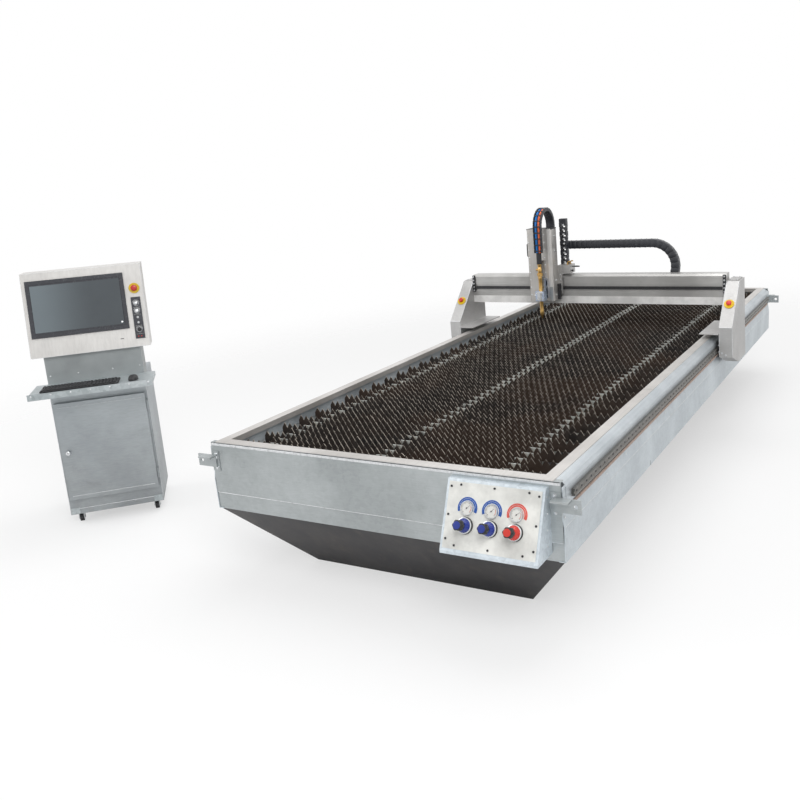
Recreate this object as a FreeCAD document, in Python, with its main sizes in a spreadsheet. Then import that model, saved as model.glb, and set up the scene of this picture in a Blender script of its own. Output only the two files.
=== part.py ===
import FreeCAD, Part
import math
import os
import Sketcher

# Plasma cutting machine with a slatted table, a travelling gantry and a wheeled control console.
# Z points up, the floor is Z = 0, X = 0 and Y = 0 lie at the middle of the table.
# The end with the gas regulators faces -Y. All lengths are in millimetres.

os.makedirs("parts", exist_ok=True)
doc = FreeCAD.newDocument("PlasmaCutter")
sheet = doc.addObject("Spreadsheet::Sheet", "Sizes")

SIZES = {
    # table
    "table_width": 1960, "table_length": 4880, "panel_bottom": 402, "panel_height": 367,
    "sheet_thick": 4, "end_fold_rise": 86, "side_fold_rise": 160, "fold_out": 4,
    "side_panel_rise": 230, "side_lean": 6, "flange_width": 30,
    "hopper_foot_width": 1298, "hopper_foot_length": 4198, "hopper_wall": 6, "hopper_inset": 6,
    "rim_width": 56, "rim_thick": 4, "rim_lip": 30, "rim_inner_in": 92,
    "beam_inner_in": 75, "beam_outer_out": 5, "beam_notch": 21, "beam_notch_rise": 20,
    "beam_chamfer_drop": 34, "beam_mid_drop": 19, "beam_mid_in": 10, "beam_top_in": 28, "beam_top_drop": 8,
    "rail_drop": 65, "rail_tall": 34, "rail_thick": 16, "rail_end_gap": 90, "rail_lip": 9, "rail_groove": 4,
    "rack_tall": 17, "rack_thick": 22,
    "slat_count": 33, "slat_first": 120, "teeth_count": 23,
    "slat_end_gap": 55, "slat_thick": 4, "slat_bottom": 685, "slat_tall": 70, "tooth_depth": 28,
    "ledge_lap": 70, "end_gap": 2, "cut_over": 5,
    "support_row_in": 180, "support_thick": 12, "support_tall": 60, "cross_tall": 60, "cross_thick": 12,
    "cross_count": 5, "cross_into_beam": 50,
    "corner_plate_wide": 46, "corner_plate_in": 4, "corner_plate_tall": 110,
    "corner_plate_thick": 4, "corner_plate_drop": 24,
    "lug_out": 86, "lug_long": 121, "lug_hole_in": 24, "lug_tall": 64, "lug_thick": 8, "lug_rise": 232,
    "lug_hole": 11, "lug_fold": 40,
    # gas regulator box on the front panel
    "box_side_gap": 58, "box_width": 465, "box_rise": 40, "box_top_drop": 25, "box_top_depth": 30,
    "box_tilt": 24, "box_lip": 14, "plate_margin": 12, "plate_thick": 3,
    "gauge_radius": 31, "gauge_deep": 12, "gauge_first": 114, "gauge_step": 118, "gauge_drop": 120,
    "regulator_radius": 37, "regulator_deep": 38, "regulator_drop": 194,
    "knob_radius": 25, "knob_deep": 38, "knob_gap": 8, "stem_radius": 9,
    # gantry
    "gantry_setback": 2764, "leg_out": 30, "leg_thick": 90, "leg_low": 235, "leg_knee": 441,
    "leg_top": 722, "leg_slope_run": 266, "leg_deep": 441, "leg_foot": 160, "leg_foot_run": 200,
    "cap_thick": 6, "cap_margin": 12,
    "beam_setback": 264, "bridge_deep": 100, "bridge_low": 606, "bridge_high": 772,
    "bridge_chamfer": 15, "bridge_groove": 5, "groove_low": 650, "groove_high": 694,
    "guide_low": 660, "guide_tall": 22, "guide_thick": 12, "guide_end_gap": 30,
    "cover_low": 551, "cover_out": 3,
    "wing_in": 100, "wing_rise": 395, "wing_thick": 6, "wing_front": 24,
    "block_length": 100, "block_gap": 0.3, "block_jaw": 14, "jaw_off_beam": 4, "block_first": 40,
    "block_second": 300,
    "stop_radius": 35, "stop_disc_thick": 6, "button_radius": 19, "button_tall": 18,
    "tray_thick": 5, "tray_deep": 84, "tray_left": 140, "tray_right": 609,
    "chain_outer": 200, "chain_thick": 60, "chain_wide": 60, "chain_bend": 445,
    "chain_upper_left": 268, "chain_lower_left": 100, "chain_behind": 12, "chain_low": 615,
    # carriage and torch lift
    "carriage_left": 351, "carriage_half": 130, "carriage_thick": 12, "carriage_low": 628,
    "carriage_high": 848, "runner_gap": 0.3, "runner_jaw": 12, "runner_half": 90,
    "runner_thick": 4, "jaw_off_bridge": 3,
    "housing_half": 99, "housing_deep": 105, "housing_low": 588, "housing_high": 1137,
    "housing_chamfer": 8, "slot_half": 22, "slot_high": 900, "slot_deep": 40,
    "slide_half": 8, "slide_thick": 6,
    "handle_low": 925, "handle_tall": 98, "handle_reach": 18, "handle_radius": 5, "handle_back": 40,
    "bracket_right": 195, "bracket_low": 783, "bracket_high": 848, "bracket_deep": 99,
    "ladder_left": 105, "ladder_wide": 57, "ladder_deep": 50, "ladder_high": 1196, "ladder_back": 34,
    "lever_radius": 6, "lever_length": 66, "lever_back": 40, "lever_drop": 16,
    "loop_guide_half": 26, "loop_guide_drop": 90,
    "torch_right": 28, "torch_out": 78, "torch_radius": 16, "torch_tip": 465,
    "torch_top": 882, "nozzle_tall": 40, "nozzle_radius": 5, "collar_radius": 21, "collar_tall": 26,
    "collar_rise": 790, "sleeve_radius": 24, "sleeve_tall": 84, "clamp_half": 34, "clamp_tall": 74,
    "clamp_low": 606, "clamp_deep": 56, "arm_half": 15, "arm_tall": 150, "arm_rise": 4,
    "loop_radius": 125, "loop_thick": 30, "loop_wide": 64, "loop_wall": 8, "loop_web": 6,
    "loop_centre": 1154, "loop_rear_end": 1078, "hose_wide": 20, "hose_thick": 14, "hose_gap": 2,
    # console
    "console_left": 2465, "console_ahead": 1870, "console_turn": 44,
    "cabinet_wide": 560, "cabinet_deep": 480, "cabinet_low": 70, "cabinet_high": 900,
    "cabinet_sheet": 3, "door_thick": 20, "door_margin_low": 104, "door_margin_high": 96,
    "door_side": 14, "door_gap": 3, "door_shadow": 6,
    "hinge_radius": 7, "hinge_tall": 60, "hinge_low_rise": 60, "hinge_high_rise": 520,
    "hinge_leaf_half": 4, "lock_radius": 13, "lock_deep": 22, "lock_in": 40,
    "desk_wide": 690, "desk_deep": 300, "desk_thick": 26, "desk_lip": 12, "desk_lip_thick": 3,
    "desk_reach": 520,
    "neck_wide": 560, "neck_deep": 170, "neck_ahead": 220,
    "head_wide": 690, "head_low": 1100, "head_high": 1610, "head_deep": 130, "head_ahead": 250,
    "head_lean": 10, "bezel_wide": 560, "bezel_tall": 350, "bezel_thick": 8, "bezel_side": 322,
    "bezel_drop": 48, "screen_wide": 509, "screen_tall": 286, "screen_thick": 2,
    "strip_wide": 56, "strip_tall": 260, "strip_thick": 6, "strip_right": 322, "strip_low": 50,
    "panel_stop_radius": 32, "panel_stop_gap": 24,
    "keyboard_wide": 440, "keyboard_deep": 140, "keyboard_thick": 18, "keyboard_side": 290,
    "keyboard_back": 60,
    "mouse_wide": 62, "mouse_deep": 104, "mouse_thick": 32, "mouse_side": 200, "mouse_back": 70,
    "caster_x": 230, "caster_y": 190, "wheel_radius": 25, "wheel_wide": 22, "fork_wide": 34,
    "fork_trail": 18, "fork_thick": 4, "fork_deep": 36, "mount_radius": 22, "mount_tall": 6,
    "fork_low_in": 8, "crown_thick": 5, "axle_radius": 5, "seat_gap": 0.3,
}
for row, (alias, value) in enumerate(SIZES.items(), start=1):
    cell = "A" + str(row)
    sheet.set(cell, str(value))
    sheet.setAlias(cell, alias)
doc.recompute()


class Size:
    """A length that keeps its number together with the sheet expression it comes from."""

    def __init__(self, value, text):
        self.value = float(value)
        self.text = text

    def _with(self, other, sign, value):
        return Size(value, "(" + self.text + " " + sign + " " + as_size(other).text + ")")

    def __add__(self, other):
        return self._with(other, "+", self.value + as_size(other).value)

    def __radd__(self, other):
        return as_size(other) + self

    def __sub__(self, other):
        return self._with(other, "-", self.value - as_size(other).value)

    def __rsub__(self, other):
        return as_size(other) - self

    def __mul__(self, other):
        return self._with(other, "*", self.value * as_size(other).value)

    def __rmul__(self, other):
        return as_size(other) * self

    def __truediv__(self, other):
        return self._with(other, "/", self.value / as_size(other).value)

    def __neg__(self):
        return as_size(0) - self


def as_size(value):
    if isinstance(value, Size):
        return value
    return Size(value, "(" + repr(float(value)) + ")")


def sized(alias):
    return Size(SIZES[alias], "Sizes." + alias)


def sine(angle):
    return Size(math.sin(math.radians(angle.value)), "sin(" + angle.text + " * 1 deg)")


def cosine(angle):
    return Size(math.cos(math.radians(angle.value)), "cos(" + angle.text + " * 1 deg)")


def bind(item, prop, size):
    """Ties a property to the sheet through an expression."""
    item.setExpression(prop, as_size(size).text)


class Named:
    """Reads every named size of the sheet as an attribute."""

    def __getattr__(self, alias):
        return sized(alias)


s = Named()
pieces = {}
serial = [0]


def fresh(stem):
    serial[0] += 1
    return stem + str(serial[0])


def place(item, point, turn=None):
    """Sets an object down at a point whose three parts are bound to the sheet."""
    if turn is not None:
        item.Placement = FreeCAD.Placement(FreeCAD.Vector(), turn)
    for axis, size in zip("xyz", point):
        bind(item, "Placement.Base." + axis, size)


def block(span_x, span_y, span_z):
    """Box between two sizes on each axis."""
    item = doc.addObject("Part::Box", fresh("Block"))
    for prop, span in zip(("Length", "Width", "Height"), (span_x, span_y, span_z)):
        bind(item, prop, as_size(span[1]) - span[0])
    place(item, (span_x[0], span_y[0], span_z[0]))
    return item


TURN_TO = {
    "x": FreeCAD.Rotation(FreeCAD.Vector(1, 1, 1), 120),
    "y": FreeCAD.Rotation(FreeCAD.Vector(1, 0, 0), -90),
    "z": FreeCAD.Rotation(),
}


def rod(axis, point, radius, length):
    """Cylinder that starts at a point and runs along +X, +Y or +Z."""
    item = doc.addObject("Part::Cylinder", fresh("Rod"))
    bind(item, "Radius", radius)
    bind(item, "Height", length)
    place(item, point, TURN_TO[axis])
    return item


RIGHT_ANGLE = 90


def tilted_rod(kind, point, radius, length, angle):
    """Cylinder that starts at a point and leans about the X axis by an angle of the sheet."""
    item = doc.addObject("Part::Cylinder", fresh(kind))
    bind(item, "Radius", radius)
    bind(item, "Height", length)
    place(item, point, FreeCAD.Rotation(FreeCAD.Vector(1, 0, 0), angle.value))
    bind(item, "Placement.Rotation.Angle", angle)
    return item


def cone(axis, point, radius_start, radius_end, length):
    """Cone that starts at a point and runs along +X, +Y or +Z."""
    item = doc.addObject("Part::Cone", fresh("Cone"))
    bind(item, "Radius1", radius_start)
    bind(item, "Radius2", radius_end)
    bind(item, "Height", length)
    place(item, point, TURN_TO[axis])
    return item


PLANES = {"XY": "XY_Plane", "XZ": "XZ_Plane", "YZ": "YZ_Plane"}


def origin_plane(body, plane):
    for feature in body.Origin.OriginFeatures:
        if feature.Role == PLANES[plane]:
            return feature
    raise ValueError("no such plane")


def outline(body, plane, points, offset):
    """Closed sketch of straight lines whose corners are bound to the sheet."""
    sketch = body.newObject("Sketcher::SketchObject", fresh("Outline"))
    sketch.AttachmentSupport = [(origin_plane(body, plane), "")]
    sketch.MapMode = "FlatFace"
    bind(sketch, "AttachmentOffset.Base.z", offset)
    corners = [FreeCAD.Vector(as_size(u).value, as_size(v).value, 0) for u, v in points]
    count = len(corners)
    for index in range(count):
        line = Part.LineSegment(corners[index], corners[(index + 1) % count])
        sketch.addGeometry(line, False)
    rules = []
    for index in range(count):
        rules.append(Sketcher.Constraint("Coincident", index, 2, (index + 1) % count, 1))
    for index, corner in enumerate(corners):
        rules.append(Sketcher.Constraint("DistanceX", -1, 1, index, 1, corner.x))
        rules.append(Sketcher.Constraint("DistanceY", -1, 1, index, 1, corner.y))
    sketch.addConstraint(rules)
    for index, (u, v) in enumerate(points):
        sketch.setExpression("Constraints[" + str(count + 2 * index) + "]", as_size(u).text)
        sketch.setExpression("Constraints[" + str(count + 2 * index + 1) + "]", as_size(v).text)
    return sketch


def profile(plane, points, span):
    """Body made by padding a polygon between two sizes along the plane's normal axis."""
    body = doc.addObject("PartDesign::Body", fresh("Profile"))
    start, end = as_size(span[0]), as_size(span[1])
    offset = -end if plane == "XZ" else start
    sketch = outline(body, plane, points, offset)
    pad = body.newObject("PartDesign::Pad", fresh("Pad"))
    pad.Profile = sketch
    bind(pad, "Length", end - start)
    body.Tip = pad
    return body


def joined(*items):
    item = doc.addObject("Part::MultiFuse", fresh("Joined"))
    item.Shapes = list(items)
    return item


def without(base, tool):
    item = doc.addObject("Part::Cut", fresh("Without"))
    item.Base = base
    item.Tool = tool
    return item


def mirrored(base, normal):
    item = doc.addObject("Part::Mirroring", fresh("Mirrored"))
    item.Source = base
    item.Normal = normal
    return item


def group(*items):
    item = doc.addObject("Part::Compound", fresh("Group"))
    item.Links = list(items)
    return item


def both_sides(base):
    return group(base, mirrored(base, FreeCAD.Vector(1, 0, 0)))


def both_ends(base):
    return group(base, mirrored(base, FreeCAD.Vector(0, 1, 0)))


def keep(name, item):
    """Remembers a finished piece under the name its file gets."""
    item.Label = name
    pieces[name] = item
    return item


# main levels and lines
half_width = s.table_width / 2
half_length = s.table_length / 2
front = -half_length
rim_top = s.panel_bottom + s.panel_height
rim_under = rim_top - s.rim_thick
sheet_in = half_width - s.sheet_thick
beam_inner = half_width - s.beam_inner_in
beam_outer = half_width + s.beam_outer_out
rim_inner = half_width - s.rim_inner_in
leg_inner = half_width + s.leg_out
slat_half = beam_inner - s.slat_end_gap
slat_pitch = (s.table_length - s.slat_first * 2) / (s.slat_count - 1)
ledge_inner = slat_half - s.ledge_lap


def above(size):
    """Height over the lower edge of the table panels."""
    return s.panel_bottom + size


# dust hopper
def frustum(side_in, floor_in):
    """Downward taper drawn in from the hopper's outer faces by two distances."""
    item = doc.addObject("Part::Wedge", fresh("Frustum"))
    foot_x = s.hopper_foot_width / 2 - side_in
    foot_y = s.hopper_foot_length / 2 - side_in
    top_x = half_width - s.hopper_inset - side_in
    top_y = half_length - s.hopper_inset - side_in
    for prop, size in (("Xmin", -foot_x), ("Xmax", foot_x), ("Zmin", -foot_y), ("Zmax", foot_y),
                       ("X2min", -top_x), ("X2max", top_x), ("Z2min", -top_y), ("Z2max", top_y),
                       ("Ymin", floor_in), ("Ymax", s.panel_bottom)):
        bind(item, prop, size)
    item.Placement = FreeCAD.Placement(FreeCAD.Vector(), FreeCAD.Rotation(FreeCAD.Vector(1, 0, 0), 90))
    return item


keep("dust_hopper", without(frustum(as_size(0), as_size(0)), frustum(s.hopper_wall, s.hopper_wall)))

# folded end panels and side panels
fold = above(s.end_fold_rise)
front_line = [
    (front + s.fold_out, s.panel_bottom),
    (front + s.fold_out + s.flange_width, s.panel_bottom),
    (front + s.fold_out + s.flange_width, s.panel_bottom + s.sheet_thick),
    (front + s.fold_out + s.sheet_thick, s.panel_bottom + s.sheet_thick),
    (front + s.fold_out + s.sheet_thick, fold),
    (front + s.sheet_thick, fold + s.fold_out),
    (front + s.sheet_thick, rim_under - s.sheet_thick),
    (front + s.flange_width, rim_under - s.sheet_thick),
    (front + s.flange_width, rim_under),
    (front, rim_under),
    (front, fold + s.fold_out),
    (front + s.fold_out, fold),
]

side_fold = above(s.side_fold_rise)
side_top = above(s.side_panel_rise)
side_face = half_width - s.side_lean
side_line = [
    (half_width, s.panel_bottom),
    (half_width + s.fold_out, side_fold),
    (side_face, side_top),
    (side_face - s.flange_width, side_top),
    (side_face - s.flange_width, side_top - s.sheet_thick),
    (side_face - s.sheet_thick, side_top - s.sheet_thick),
    (half_width + s.fold_out - s.sheet_thick, side_fold),
    (half_width - s.sheet_thick, s.panel_bottom + s.sheet_thick),
    (half_width - s.flange_width, s.panel_bottom + s.sheet_thick),
    (half_width - s.flange_width, s.panel_bottom),
]
side_pair = both_sides(profile("XZ", side_line, (front, half_length)))
keep("side_panels", side_pair)
end_pair = both_ends(profile("YZ", front_line, (-sheet_in, sheet_in)))
keep("end_panels", without(end_pair, side_pair))

# side beams that carry the rails, seen from the end
beam_line = [
    (beam_inner, side_top),
    (beam_outer - s.beam_notch, side_top),
    (beam_outer - s.beam_notch, side_top + s.beam_notch_rise),
    (beam_outer, side_top + s.beam_notch_rise),
    (beam_outer, rim_top - s.beam_chamfer_drop),
    (beam_outer - s.beam_mid_in, rim_top - s.beam_mid_drop),
    (beam_outer - s.beam_top_in, rim_top - s.beam_top_drop),
    (rim_inner + s.rim_width, rim_under),
    (beam_inner, rim_under),
]
beam_end = half_length - s.flange_width - s.end_gap
keep("side_beams", both_sides(profile("XZ", beam_line, (-beam_end, beam_end))))

rail_low = rim_top - s.rail_drop - s.rail_tall
rail_end = half_length - s.rail_end_gap
rail_groove_in = s.rail_lip + s.rail_groove
rail_line = [
    (beam_outer, rail_low),
    (beam_outer + s.rail_thick, rail_low),
    (beam_outer + s.rail_thick, rail_low + s.rail_lip),
    (beam_outer + s.rail_thick - s.rail_groove, rail_low + rail_groove_in),
    (beam_outer + s.rail_thick - s.rail_groove, rail_low + s.rail_tall - rail_groove_in),
    (beam_outer + s.rail_thick, rail_low + s.rail_tall - s.rail_lip),
    (beam_outer + s.rail_thick, rail_low + s.rail_tall),
    (beam_outer, rail_low + s.rail_tall),
]
keep("side_rails", both_sides(profile("XZ", rail_line, (-rail_end, rail_end))))

rack = block((beam_outer - s.beam_notch, beam_outer - s.beam_notch + s.rack_thick),
             (-rail_end, rail_end), (side_top, side_top + s.rack_tall))
keep("gear_racks", both_sides(rack))

# rim on top of the table
rim_outer = rim_inner + s.rim_width
side_rim_line = [
    (rim_inner, rim_top - s.rim_lip),
    (rim_inner + s.rim_thick, rim_top - s.rim_lip),
    (rim_inner + s.rim_thick, rim_under),
    (rim_outer, rim_under),
    (rim_outer, rim_top),
    (rim_inner, rim_top),
]
rim_corner = half_length - s.rim_width
keep("side_rims", both_sides(profile("XZ", side_rim_line, (-rim_corner, rim_corner))))
rim_back = front + s.rim_width
end_rim = joined(
    block((-rim_outer, rim_outer), (front, rim_back), (rim_under, rim_top)),
    block((-rim_inner, rim_inner), (rim_back - s.rim_thick, rim_back), (rim_top - s.rim_lip, rim_under)))
keep("end_rims", both_ends(end_rim))

# slat bed: ledges beside the slats, cross bars and supports under them, toothed slats
ledge = block((ledge_inner, beam_inner), (-beam_end, beam_end),
              (s.slat_bottom - s.sheet_thick, s.slat_bottom))
keep("slat_ledges", both_sides(ledge))

support_front = front + s.sheet_thick
support_top = s.slat_bottom
support_low = s.slat_bottom - s.support_tall


def support(centre):
    """Long upright bar under the slats."""
    return block((centre - s.support_thick / 2, centre + s.support_thick / 2),
                 (support_front, -support_front), (support_low, support_top))


support_row = slat_half - s.support_row_in
keep("slat_supports", group(support(as_size(0)), support(support_row), support(-support_row)))
cross_bars = []
for index in range(SIZES["cross_count"]):
    middle = front + s.table_length * (index + 1) / (s.cross_count + 1)
    cross_bars.append(block((-beam_inner - s.cross_into_beam, beam_inner + s.cross_into_beam),
                            (middle - s.cross_thick / 2, middle + s.cross_thick / 2),
                            (support_low - s.cross_tall, support_low)))
keep("cross_bars", group(*cross_bars))

tooth_pitch = slat_half * 2 / s.teeth_count
slat_top = s.slat_bottom + s.slat_tall
slat_line = [(-slat_half, s.slat_bottom), (slat_half, s.slat_bottom)]
for index in range(SIZES["teeth_count"]):
    right = slat_half - tooth_pitch * index
    slat_line.append((right, slat_top - s.tooth_depth))
    slat_line.append((right - tooth_pitch / 2, slat_top))
slat_line.append((-slat_half, slat_top - s.tooth_depth))


def slat_field(first, count):
    """Row of equal slats along the table, made by a linear pattern."""
    body = doc.addObject("PartDesign::Body", fresh("Slats"))
    sketch = outline(body, "XZ", slat_line, -(first + s.slat_thick))
    pad = body.newObject("PartDesign::Pad", fresh("Pad"))
    pad.Profile = sketch
    bind(pad, "Length", s.slat_thick)
    body.Tip = pad
    doc.recompute()
    pattern = body.newObject("PartDesign::LinearPattern", fresh("Pattern"))
    pattern.Originals = [pad]
    pattern.Direction = (sketch, ["N_Axis"])
    pattern.Reversed = True
    bind(pattern, "Length", slat_pitch * (count - 1))
    bind(pattern, "Occurrences", count)
    body.Tip = pattern
    return body


first_slat = front + s.slat_first - s.slat_thick / 2
keep("cutting_slats", slat_field(first_slat, s.slat_count))

# corner plates and lugs with a hole
corner_plate_low = above(s.lug_rise) - s.corner_plate_drop
corner_plate = block((half_width - s.corner_plate_in - s.corner_plate_wide, half_width - s.corner_plate_in),
                     (front - s.corner_plate_thick, front),
                     (corner_plate_low, corner_plate_low + s.corner_plate_tall))
keep("corner_plates", both_ends(both_sides(corner_plate)))
lug_front = front - s.corner_plate_thick - s.lug_thick
lug_outer = half_width + s.lug_out
lug_inner = lug_outer - s.lug_long
lug = joined(
    block((lug_inner, lug_outer), (lug_front, lug_front + s.lug_thick),
          (above(s.lug_rise), above(s.lug_rise) + s.lug_tall)),
    block((lug_inner, lug_outer - s.lug_fold), (lug_front - s.lug_fold, lug_front),
          (above(s.lug_rise) + s.lug_tall - s.lug_thick, above(s.lug_rise) + s.lug_tall)))
lug_bore = rod("y", (lug_outer - s.lug_hole_in, lug_front - s.cut_over, above(s.lug_rise) + s.lug_tall / 2),
               s.lug_hole, s.lug_thick + s.cut_over * 2)
keep("corner_lugs", both_ends(both_sides(without(lug, lug_bore))))

# wedge-shaped box with gas gauges and regulators
box_low = above(s.box_rise)
box_high = rim_under - s.box_top_drop
box_tall = box_high - box_low - s.box_lip
tilt_run = box_tall * sine(s.box_tilt) / cosine(s.box_tilt)
box_right = half_width - s.box_side_gap
box_left = box_right - s.box_width
face_top = (front - s.box_top_depth, box_high)
face_low = (front - s.box_top_depth - tilt_run, box_low + s.box_lip)
box_line = [
    (front, box_low),
    (face_low[0], box_low),
    face_low,
    face_top,
    (front, box_high),
]
keep("gauge_box", profile("YZ", box_line, (box_left, box_right)))


def on_face(drop, out):
    """Point on the tilted face: distance down the face, distance out of it."""
    along = front - s.box_top_depth - drop * sine(s.box_tilt) - out * cosine(s.box_tilt)
    height = box_high - drop * cosine(s.box_tilt) + out * sine(s.box_tilt)
    return along, height


face_long = box_tall / cosine(s.box_tilt)
plate_line = [
    on_face(s.plate_margin, as_size(0)),
    on_face(face_long - s.plate_margin, as_size(0)),
    on_face(face_long - s.plate_margin, s.plate_thick),
    on_face(s.plate_margin, s.plate_thick),
]
plate_ends = (box_left + s.plate_margin, box_right - s.plate_margin)
keep("gauge_plate", profile("YZ", plate_line, plate_ends))


def from_face(kind, along_x, drop, out, radius, length):
    """Round piece that stands square on the tilted face."""
    y_at, z_at = on_face(drop, out)
    return tilted_rod(kind, (along_x, y_at, z_at), radius, length, RIGHT_ANGLE - s.box_tilt)


gauges = []
regulators = []
for index in range(3):
    column = box_left + s.gauge_first + s.gauge_step * index
    gauges.append(from_face("Gauge", column, s.gauge_drop, s.plate_thick, s.gauge_radius, s.gauge_deep))
    body_part = from_face("Regulator", column, s.regulator_drop, s.plate_thick,
                          s.regulator_radius, s.regulator_deep)
    stem = from_face("Stem", column, s.regulator_drop, s.plate_thick,
                     s.stem_radius, s.regulator_deep + s.knob_gap)
    regulators.append(joined(body_part, stem))
    knob_out = s.plate_thick + s.regulator_deep + s.knob_gap + s.seat_gap
    knob = from_face("Knob", column, s.regulator_drop, knob_out, s.knob_radius, s.knob_deep)
    keep(("oxygen_knob", "air_knob", "fuel_knob")[index], knob)
keep("pressure_gauges", group(*gauges))
keep("gas_regulators", group(*regulators))

# gantry legs
gantry = front + s.gantry_setback
leg_outer = leg_inner + s.leg_thick
leg_line = [
    (gantry, above(s.leg_low)),
    (gantry + s.leg_foot_run, above(s.leg_foot)),
    (gantry + s.leg_deep, above(s.leg_foot)),
    (gantry + s.leg_deep, above(s.leg_top)),
    (gantry + s.leg_slope_run, above(s.leg_top)),
    (gantry, above(s.leg_knee)),
]
keep("gantry_legs", both_sides(profile("YZ", leg_line, (leg_inner, leg_outer))))
cap = block((leg_inner + s.cap_margin, leg_outer - s.cap_margin),
            (gantry + s.leg_slope_run + s.cap_margin, gantry + s.leg_deep - s.cap_margin),
            (above(s.leg_top), above(s.leg_top) + s.cap_thick))

# cross beam with groove, guide rail and cover
bridge = gantry + s.beam_setback
bridge_back = bridge + s.bridge_deep
bridge_line = [
    (bridge, above(s.bridge_low)),
    (bridge_back, above(s.bridge_low)),
    (bridge_back, above(s.bridge_high)),
    (bridge + s.bridge_chamfer, above(s.bridge_high)),
    (bridge, above(s.bridge_high) - s.bridge_chamfer),
    (bridge, above(s.groove_high)),
    (bridge + s.bridge_groove, above(s.groove_high)),
    (bridge + s.bridge_groove, above(s.groove_low)),
    (bridge, above(s.groove_low)),
]
keep("cross_beam", profile("YZ", bridge_line, (-leg_inner, leg_inner)))
guide_front = bridge + s.bridge_groove - s.guide_thick
guide_end = leg_inner - s.guide_end_gap
keep("beam_guide", block((-guide_end, guide_end), (guide_front, bridge + s.bridge_groove),
                         (above(s.guide_low), above(s.guide_low) + s.guide_tall)))
keep("beam_cover", block((-leg_inner, leg_inner), (bridge - s.cover_out, bridge_back + s.cover_out),
                         (above(s.cover_low), above(s.bridge_low))))

# cover wings over the side rails and the bearing blocks under them
wing = block(((half_width - s.wing_in), leg_inner), (gantry - s.wing_front, gantry + s.leg_deep),
             (above(s.wing_rise), above(s.wing_rise) + s.wing_thick))
keep("leg_covers", group(both_sides(wing), both_sides(cap)))
rail_face = beam_outer + s.rail_thick
jaw_end = beam_outer + s.jaw_off_beam
jaw_low = rail_low - s.block_gap - s.block_jaw
jaw_high = rail_low + s.rail_tall + s.block_gap + s.block_jaw
block_line = [
    (rail_face + s.block_gap, rail_low - s.block_gap),
    (rail_face + s.block_gap, rail_low + s.rail_tall + s.block_gap),
    (jaw_end, rail_low + s.rail_tall + s.block_gap),
    (jaw_end, jaw_high),
    (leg_inner, jaw_high),
    (leg_inner, jaw_low),
    (jaw_end, jaw_low),
    (jaw_end, rail_low - s.block_gap),
]
blocks = []
for first in (s.block_first, s.block_second):
    blocks.append(both_sides(profile("XZ", block_line, (gantry + first, gantry + first + s.block_length))))
keep("bearing_blocks", group(*blocks))

# emergency stops on the sloping faces of the legs
slope_rise = s.leg_top - s.leg_knee
slope_angle = Size(math.degrees(math.atan2(slope_rise.value, s.leg_slope_run.value)),
                   "atan(" + slope_rise.text + " / " + s.leg_slope_run.text + ") / 1 deg")
stop_y = gantry + s.leg_slope_run / 2
stop_z = above(s.leg_knee) + slope_rise / 2


def on_slope(kind, out, radius, length):
    """Round piece that stands square on a leg's sloping face."""
    point = (leg_inner + s.leg_thick / 2, stop_y - sine(slope_angle) * out,
             stop_z + cosine(slope_angle) * out)
    return tilted_rod(kind, point, radius, length, slope_angle)


keep("leg_stop_discs", both_sides(on_slope("Disc", as_size(0), s.stop_radius, s.stop_disc_thick)))
keep("leg_stop_buttons", both_sides(on_slope("Button", s.stop_disc_thick, s.button_radius, s.button_tall)))

# cable chain behind the beam, one fixed loop lying in a tray
chain_front = bridge_back + s.chain_behind
chain_back = chain_front + s.chain_wide
chain_floor = above(s.chain_low)
tray = joined(
    block((-s.tray_left, s.tray_right), (bridge_back, bridge_back + s.tray_deep),
          (chain_floor - s.tray_thick - s.seat_gap, chain_floor - s.seat_gap)),
    block((-s.tray_left, s.tray_right),
          (bridge_back + s.tray_deep - s.tray_thick, bridge_back + s.tray_deep),
          (chain_floor - s.seat_gap, chain_floor + s.chain_thick / 2)))
keep("chain_tray", tray)
chain_hub = chain_floor + s.chain_outer


def half_ring(radius):
    """Half disc that opens to the left, as wide as the chain."""
    item = doc.addObject("Part::Cylinder", fresh("HalfRing"))
    bind(item, "Radius", radius)
    bind(item, "Height", s.chain_wide)
    item.Angle = 180
    turn = FreeCAD.Rotation(FreeCAD.Vector(0, 0, -1), FreeCAD.Vector(1, 0, 0),
                            FreeCAD.Vector(0, -1, 0), "ZXY")
    place(item, (s.chain_bend, chain_back, chain_hub), turn)
    return item


chain_inner = s.chain_outer - s.chain_thick
bend = without(half_ring(s.chain_outer), half_ring(chain_inner))
upper_run = block((-s.chain_upper_left, s.chain_bend), (chain_front, chain_back),
                  (chain_hub + chain_inner, chain_hub + s.chain_outer))
lower_run = block((-s.chain_lower_left, s.chain_bend), (chain_front, chain_back),
                  (chain_floor, chain_floor + s.chain_thick))
keep("beam_cable_chain", joined(bend, upper_run, lower_run))

# carriage on the beam
middle_x = -s.carriage_left
torch_x = middle_x + s.torch_right
carriage_back = guide_front - s.runner_gap - s.runner_thick
carriage_front = carriage_back - s.carriage_thick
housing_front = carriage_front - s.housing_deep
carriage_plate = block((middle_x - s.carriage_half, middle_x + s.carriage_half),
                       (carriage_front, carriage_back), (above(s.carriage_low), above(s.carriage_high)))
guide_low = above(s.guide_low)
guide_high = above(s.guide_low) + s.guide_tall
runner_jaw_end = bridge - s.jaw_off_bridge
runner_line = [
    (carriage_back, guide_low - s.runner_gap - s.runner_jaw),
    (carriage_back, guide_high + s.runner_gap + s.runner_jaw),
    (runner_jaw_end, guide_high + s.runner_gap + s.runner_jaw),
    (runner_jaw_end, guide_high + s.runner_gap),
    (guide_front - s.runner_gap, guide_high + s.runner_gap),
    (guide_front - s.runner_gap, guide_low - s.runner_gap),
    (runner_jaw_end, guide_low - s.runner_gap),
    (runner_jaw_end, guide_low - s.runner_gap - s.runner_jaw),
]
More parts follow.
